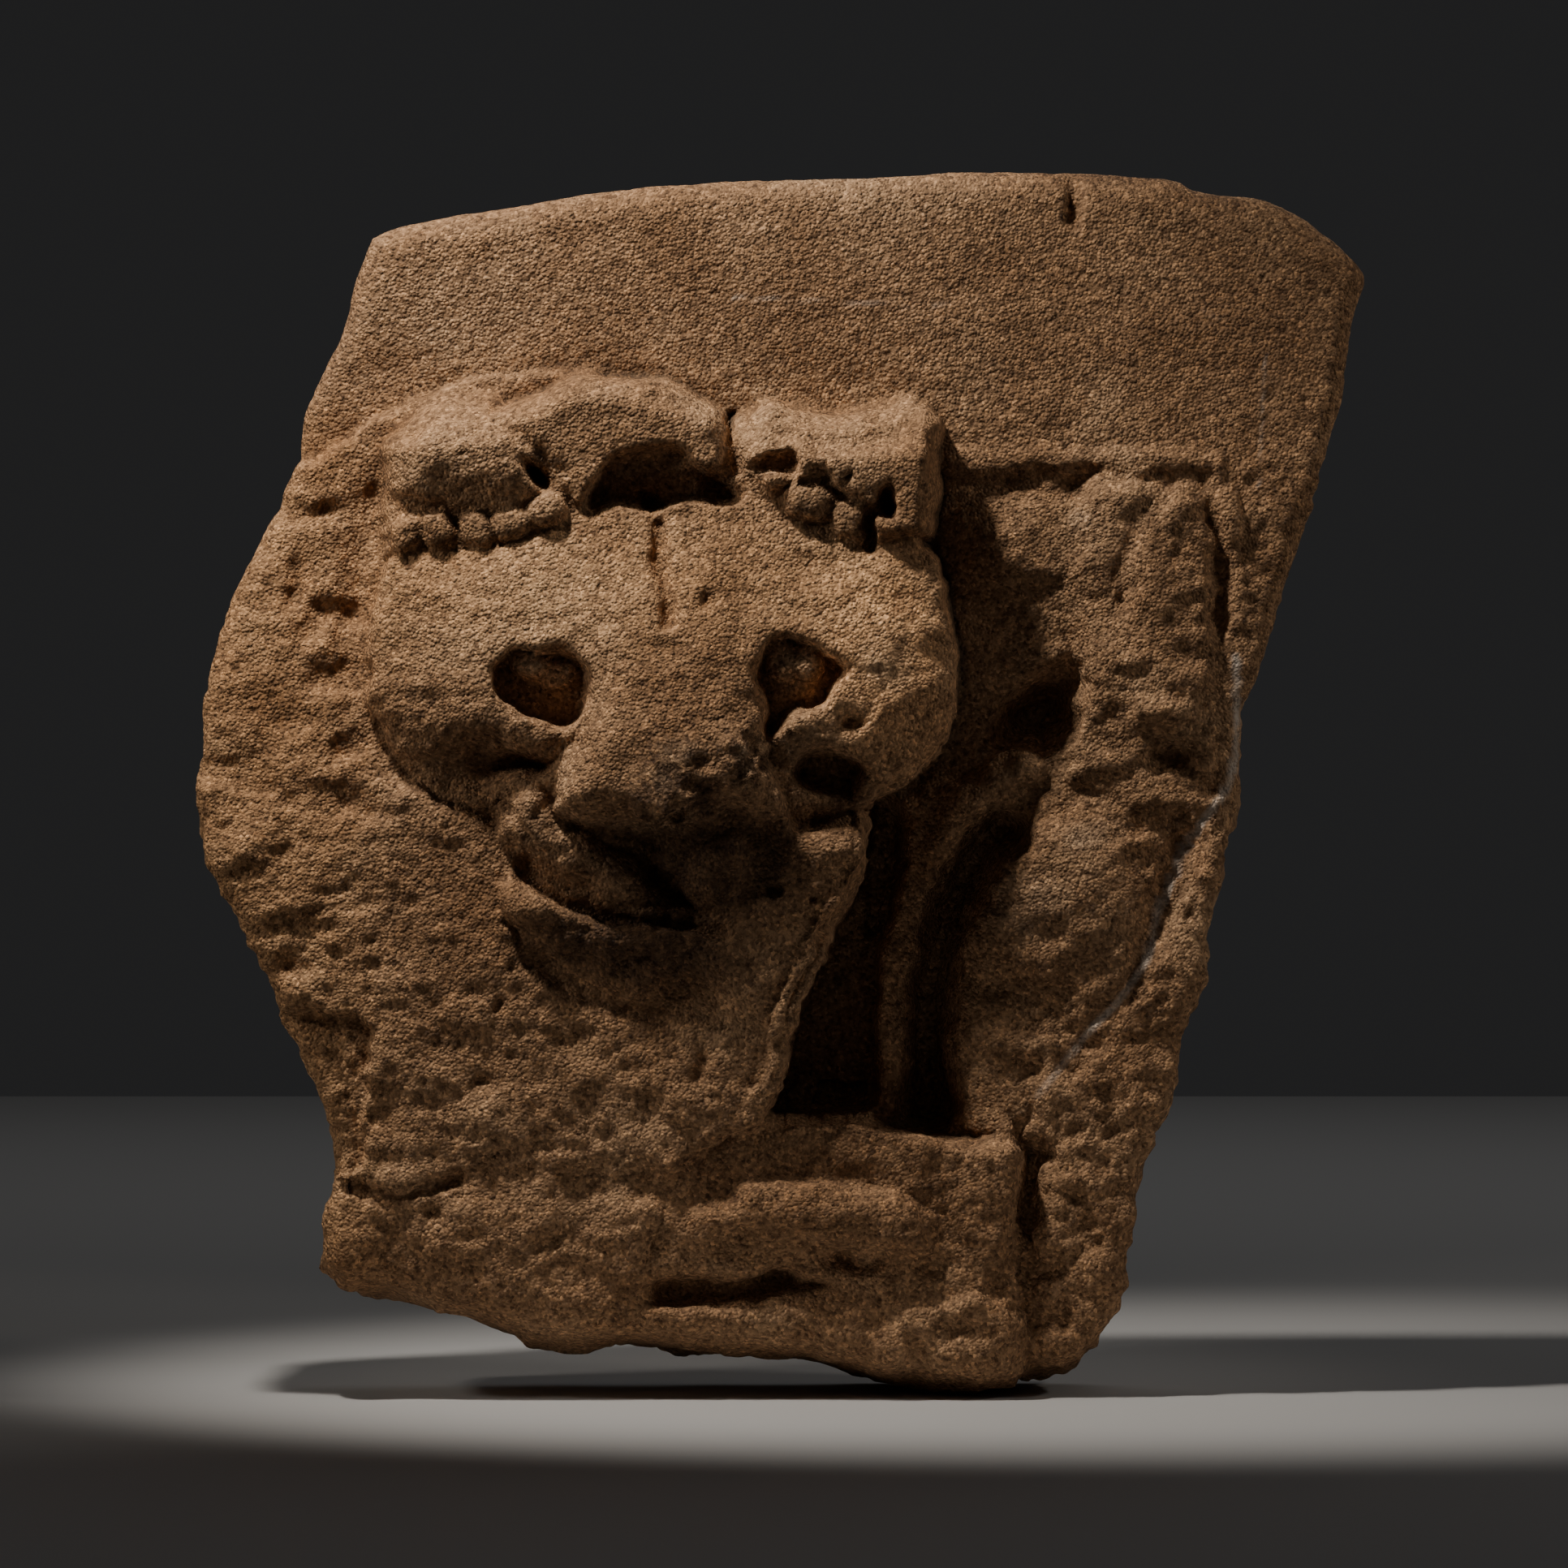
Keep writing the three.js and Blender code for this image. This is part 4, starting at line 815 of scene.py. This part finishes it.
def build_panel():
    """The stone's carved face, worn edge and sides as one mesh, with the ring where the flat back is closed.
    """
    samples = sample_carving()
    count = CELLS
    coarse_rim, coarse_inward, coarse_run, _, _ = rim_places(COARSE_CELLS)
    coarse = span_net(coarse_rim + coarse_inward * coarse_run[:, None], COARSE_CELLS)
    soft = (samples[0], samples[1], blurred(samples[2], BLUR_ROUNDS))
    net = finer(settle(coarse, soft, COARSE_ROUNDS), count // COARSE_CELLS)
    rim, inward, run, drop, foot = rim_places(count)
    stops = rim + inward * run[:, None]
    edge_net = span_net(stops, count)
    for target in ((0, slice(None)), (-1, slice(None)), (slice(None), 0), (slice(None), -1)):
        net[target] = edge_net[target]
    net = settle(net, samples, FINE_ROUNDS)

    flat = net.reshape(-1, 2)
    face = np.column_stack([flat, ragged_carving(flat[:, 0], flat[:, 1])])
    index = np.arange(len(face)).reshape(count + 1, count + 1)
    first = np.concatenate([index[0, :-1], index[:-1, -1], index[-1, :0:-1], index[:0:-1, 0]])
    stop_heights = face[first, 2]

    rows = [face]
    for k in range(1, EDGE_STEPS + 1):
        angle = math.pi / 2 * k / EDGE_STEPS
        left = run * (1 - math.sin(angle))
        heights = stop_heights - drop * (1 - math.cos(angle))
        rows.append(np.column_stack([rim + inward * left[:, None], heights]))
    edge = rows[-1]
    for k in range(1, SIDE_BANDS + 1):
        share = 1 - k / SIDE_BANDS
        rows.append(np.column_stack([edge[:, :2], (edge[:, 2] + SLAB_THICKNESS) * share - SLAB_THICKNESS]))
    sheet = np.vstack(rows)

    corners = [index[:-1, :-1], index[:-1, 1:], index[1:, 1:], index[1:, :-1]]
    quads = [np.stack(corners, -1).reshape(-1, 4)[:, ::-1]]
    ring = first
    for k in range(EDGE_STEPS + SIDE_BANDS):
        following = len(face) + k * len(rim) + np.arange(len(rim))
        quads.append(np.column_stack([ring, np.roll(ring, -1), np.roll(following, -1), following]))
        ring = following
    depths = blurred(samples[2], HOLLOW_ROUNDS) - samples[2]
    hollow = read_samples(samples[0], samples[1], depths, *sheet[:, :2].T)
    hollow[len(face):] = 0
    return sheet, np.vstack(quads), ring, hollow


def to_object(sheet):
    """From the sheet to the object, in millimetres."""
    return np.column_stack([
        sheet[:, 0] * PANEL_WIDTH / SHEET["width"],
        -(SLAB_THICKNESS + sheet[:, 2] * NOSE_PROJECTION / SHEET["projection"]),
        sheet[:, 1] * PANEL_HEIGHT / SHEET["height"],
    ])


# Back: spacing of its places, and height and size of its rough dressing
BACK_SPACING = 7
BACK_DRESSING = 1.6
BACK_LUMPS = 24


def back_triangles(points, ring):
    """Places inside the back's outline and the triangles that close it."""
    outline = points[ring][:, [0, 2]]
    low, high = outline.min(0), outline.max(0)
    x, z = np.meshgrid(np.arange(low[0], high[0], BACK_SPACING), np.arange(low[1], high[1], BACK_SPACING))
    x, z = x.ravel(), z.ravel()
    deep = depth_inside(x, z, np.vstack([outline, outline[:1]])) > BACK_SPACING * 0.6
    inner = np.column_stack([x[deep], z[deep]])
    corners = [tuple(p) for p in np.vstack([outline, inner])]
    edges = [(i, (i + 1) % len(ring)) for i in range(len(ring))]
    found, _, faces, origin, _, _ = delaunay_2d_cdt(corners, edges, [], 1, 1e-6)
    own = [source[0] for source in origin]
    added = np.column_stack([inner[:, 0], np.zeros(len(inner)), inner[:, 1]])
    index = np.concatenate([ring, len(points) + np.arange(len(inner))])
    triangles = np.array([[index[own[k]] for k in face] for face in faces])
    return added, triangles


def make_panel():
    sheet, quads, ring, hollow = build_panel()
    points = to_object(sheet)
    added, back = back_triangles(points, ring)
    points = np.vstack([points, added])
    a, b, c = (points[back[0, k]] for k in range(3))
    if np.cross(b - a, c - a)[1] < 0:
        back = back[:, ::-1]
    triangles = np.vstack([quads[:, [0, 1, 2]], quads[:, [0, 2, 3]], back])
    normals = vertex_normals(points, triangles)
    points = weathered(points, normals, points[:, 0], points[:, 2])
    dressed = smooth(-6, -1, points[:, 1])
    points[:, 1] -= dressed * (BACK_DRESSING + BACK_DRESSING * noise(points, BACK_LUMPS))
    low, high = LOW / MM, HIGH / MM
    points = np.clip(points, low, high)

    mesh = bpy.data.meshes.new("relief_panel_stone")
    mesh.from_pydata((points * MM).tolist(), [], quads.tolist() + back.tolist())
    mesh.polygons.foreach_set("use_smooth", [True] * len(mesh.polygons))
    inner = np.zeros(len(added))
    height = np.concatenate([sheet[:, 2], inner - SLAB_THICKNESS])
    height[height < -50] = 0
    tint, pale = stone_tint_and_painted_light(points[:, 0], points[:, 2], height, np.concatenate([hollow, inner]))
    front = smooth(-60, -66, points[:, 1])
    tint = mix(1, tint, front[:, None])
    mesh.attributes.new("tint", "FLOAT_COLOR", "POINT").data.foreach_set(
        "color", np.column_stack([tint, np.ones(len(tint))]).ravel())
    mesh.attributes.new("pale", "FLOAT", "POINT").data.foreach_set("value", pale * front)
    mesh.attributes.new("crust", "FLOAT", "POINT").data.foreach_set(
        "value", crust_share(points[:, 0], points[:, 2]) * front)
    mesh.update()
    piece = bpy.data.objects.new("relief_panel_stone", mesh)
    bpy.context.scene.collection.objects.link(piece)
    return piece


# Texture scales of the stone, in cells to the metre, and the colour of the crack's filling
PATCH_SCALE = 14
CRUST_SCALE = 190
MOTTLE_SCALE = 330
LARGE_GRAIN_SCALE = 360
GRAIN_SCALE = 760
FILLING = (0.58, 0.5, 0.42, 1)


def stone_material():
    """Warm brown granular sandstone."""
    material = bpy.data.materials.new("weathered_sandstone")
    material.use_nodes = True
    nodes, links = material.node_tree.nodes, material.node_tree.links
    shader = nodes["Principled BSDF"]
    place = nodes.new("ShaderNodeTexCoord").outputs["Object"]

    def texture(kind, scale, **values):
        node = nodes.new(kind)
        node.inputs["Scale"].default_value = scale
        for name, value in values.items():
            node.inputs[name].default_value = value
        links.new(place, node.inputs["Vector"])
        return node

    def ramp(source, stops):
        node = nodes.new("ShaderNodeValToRGB")
        elements = node.color_ramp.elements
        elements[0].position, elements[0].color = stops[0][0], (*stops[0][1], 1)
        elements[1].position, elements[1].color = stops[-1][0], (*stops[-1][1], 1)
        for position, colour in stops[1:-1]:
            elements.new(position).color = (*colour, 1)
        links.new(source, node.inputs["Fac"])
        return node.outputs["Color"]

    def blend(kind, share, a, b):
        node = nodes.new("ShaderNodeMix")
        node.data_type = "RGBA"
        node.blend_type = kind
        if isinstance(share, (int, float)):
            node.inputs[0].default_value = share
        else:
            links.new(share, node.inputs[0])
        links.new(a, node.inputs[6])
        links.new(b, node.inputs[7])
        return node.outputs[2]

    def bumped(height, distance, strength, normal=None):
        node = nodes.new("ShaderNodeBump")
        node.inputs["Strength"].default_value = strength
        node.inputs["Distance"].default_value = distance
        links.new(height, node.inputs["Height"])
        if normal:
            links.new(normal, node.inputs["Normal"])
        return node.outputs["Normal"]

    def attribute(name, output):
        node = nodes.new("ShaderNodeAttribute")
        node.attribute_name = name
        return node.outputs[output]

    patches = texture("ShaderNodeTexNoise", PATCH_SCALE, Detail=6, Roughness=0.65)
    base = ramp(patches.outputs["Fac"], [(0.3, (0.25, 0.13, 0.06)), (0.5, (0.36, 0.205, 0.105)),
                                         (0.7, (0.47, 0.29, 0.16))])
    grains = texture("ShaderNodeTexVoronoi", GRAIN_SCALE, Randomness=1.0)
    grain_tone = ramp(grains.outputs["Color"], [(0.1, (0.38, 0.35, 0.33)), (0.4, (0.85, 0.84, 0.83)),
                                                (0.65, (1.08, 1.08, 1.08)), (0.9, (1.9, 1.85, 1.76))])
    mottle = texture("ShaderNodeTexNoise", MOTTLE_SCALE, Detail=4, Roughness=0.7)
    mottle_tone = ramp(mottle.outputs["Fac"], [(0.36, (0.35, 0.3, 0.27)), (0.47, (0.9, 0.9, 0.9)),
                                               (0.56, (1.05, 1.05, 1.05)), (0.68, (1.35, 1.33, 1.3))])
    colour = blend("MULTIPLY", 0.8, base, grain_tone)
    colour = blend("MULTIPLY", 0.8, colour, mottle_tone)
    colour = blend("MULTIPLY", 1.0, colour, attribute("tint", "Color"))
    crust = texture("ShaderNodeTexNoise", CRUST_SCALE, Detail=5, Roughness=0.65)
    crust_here = attribute("crust", "Fac")
    crust_tone = ramp(crust.outputs["Fac"], [(0.4, (0.55, 0.52, 0.5)), (0.5, (0.95, 0.95, 0.95)),
                                             (0.6, (1.7, 1.8, 1.9))])
    colour = blend("MULTIPLY", crust_here, colour, crust_tone)
    filling = nodes.new("ShaderNodeRGB").outputs[0]
    filling.default_value = FILLING
    colour = blend("MIX", attribute("pale", "Fac"), colour, filling)
    links.new(colour, shader.inputs["Base Color"])
    shader.inputs["Roughness"].default_value = 0.85
    shader.inputs["Specular IOR Level"].default_value = 0.3
    grain_height = ramp(grains.outputs["Distance"], [(0.05, (1, 1, 1)), (0.75, (0, 0, 0))])
    large = texture("ShaderNodeTexVoronoi", LARGE_GRAIN_SCALE, Randomness=1.0)
    large_height = ramp(large.outputs["Distance"], [(0.05, (1, 1, 1)), (0.7, (0, 0, 0))])
    crust_height = nodes.new("ShaderNodeMath")
    crust_height.operation = "MULTIPLY"
    links.new(crust.outputs["Fac"], crust_height.inputs[0])
    links.new(crust_here, crust_height.inputs[1])
    normal = bumped(crust_height.outputs[0], 0.006, 1.0)
    normal = bumped(mottle.outputs["Fac"], 0.0012, 0.8, normal)
    normal = bumped(large_height, 0.0006, 0.6, normal)
    normal = bumped(grain_height, 0.0006, 1.0, normal)
    links.new(normal, shader.inputs["Normal"])
    return material


# Scene: floor, lights and camera, in metres
FLOOR_SIDE = 6.0
PHOTO_WIDTH = 618.24
CAMERA_DISTANCE = 3.2
SENSOR = 36.0
FLOOR_COLOUR = (0.5, 0.49, 0.48, 1)
FLOOR_ROUGHNESS = 0.8
ROOM_COLOUR = (0.9, 0.9, 0.92, 1)
ROOM_STRENGTH = 0.02
WARM = (1, 0.95, 0.88)
WARMER = (1, 0.93, 0.84)
SPOTS = [
    dict(name="key", radius=0.035, cone=50, blend=0.75, place=(-0.30, -0.30, 0.74), target=(0, -0.06, 0.02),
         power=27, colour=WARM),
    dict(name="right", radius=0.06, cone=50, blend=0.6, place=(0.75, -0.25, 0.38), target=(0, 0, 0),
         power=3.2, colour=WARMER),
    dict(name="left", radius=0.06, cone=50, blend=0.6, place=(-0.75, -0.32, 0.3), target=(0, 0, 0),
         power=5.4, colour=WARMER),
]
SOFT_PANELS = [
    dict(name="fill", size=1.6, place=(0.6, -2.4, 0.8), target=(0, 0, 0), power=0.25),
    dict(name="room", size=2.0, place=(0.3, 1.6, 1.8), target=(0, 1.2, 0), power=5),
]


def make_floor():
    mesh = bpy.data.meshes.new("floor")
    half = FLOOR_SIDE / 2
    ground = float(LOW[2])
    corners = [(-half, -half, ground), (half, -half, ground), (half, half, ground), (-half, half, ground)]
    mesh.from_pydata(corners, [], [(0, 1, 2, 3)])
    piece = bpy.data.objects.new("floor", mesh)
    material = bpy.data.materials.new("pale_floor")
    material.use_nodes = True
    shader = material.node_tree.nodes["Principled BSDF"]
    shader.inputs["Base Color"].default_value = FLOOR_COLOUR
    shader.inputs["Roughness"].default_value = FLOOR_ROUGHNESS
    mesh.materials.append(material)
    bpy.context.scene.collection.objects.link(piece)


def make_light(data, place, target, power, colour=(1, 1, 1)):
    """Hang a light at a place and aim it at the target."""
    data.energy = power
    data.color = colour
    light = bpy.data.objects.new(data.name, data)
    light.location = place
    aim = Vector(np.array(target) - np.array(place))
    light.rotation_euler = aim.to_track_quat("-Z", "Y").to_euler()
    bpy.context.scene.collection.objects.link(light)


def make_spot(name, radius, cone, blend, **where):
    data = bpy.data.lights.new(name, "SPOT")
    data.shadow_soft_size = radius
    data.spot_size = math.radians(cone)
    data.spot_blend = blend
    make_light(data, **where)


def make_soft_panel(name, size, **where):
    data = bpy.data.lights.new(name, "AREA")
    data.size = size
    make_light(data, **where)


def make_camera():
    data = bpy.data.cameras.new("camera")
    data.sensor_width = SENSOR
    data.lens = SENSOR * CAMERA_DISTANCE / (PHOTO_WIDTH * MM)
    camera = bpy.data.objects.new("camera", data)
    camera.location = (0, -SLAB_THICKNESS * MM - CAMERA_DISTANCE, 0)
    camera.rotation_euler = (math.pi / 2, 0, 0)
    bpy.context.scene.collection.objects.link(camera)
    bpy.context.scene.camera = camera


def make_world():
    world = bpy.data.worlds.new("studio")
    world.use_nodes = True
    background = world.node_tree.nodes["Background"]
    background.inputs["Color"].default_value = ROOM_COLOUR
    background.inputs["Strength"].default_value = ROOM_STRENGTH
    bpy.context.scene.world = world


panel = make_panel()
panel.data.materials.append(stone_material())
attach(panel, "root")
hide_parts("relief_panel")
make_floor()
make_world()
for spot in SPOTS:
    make_spot(**spot)
for panel_light in SOFT_PANELS:
    make_soft_panel(**panel_light)
make_camera()
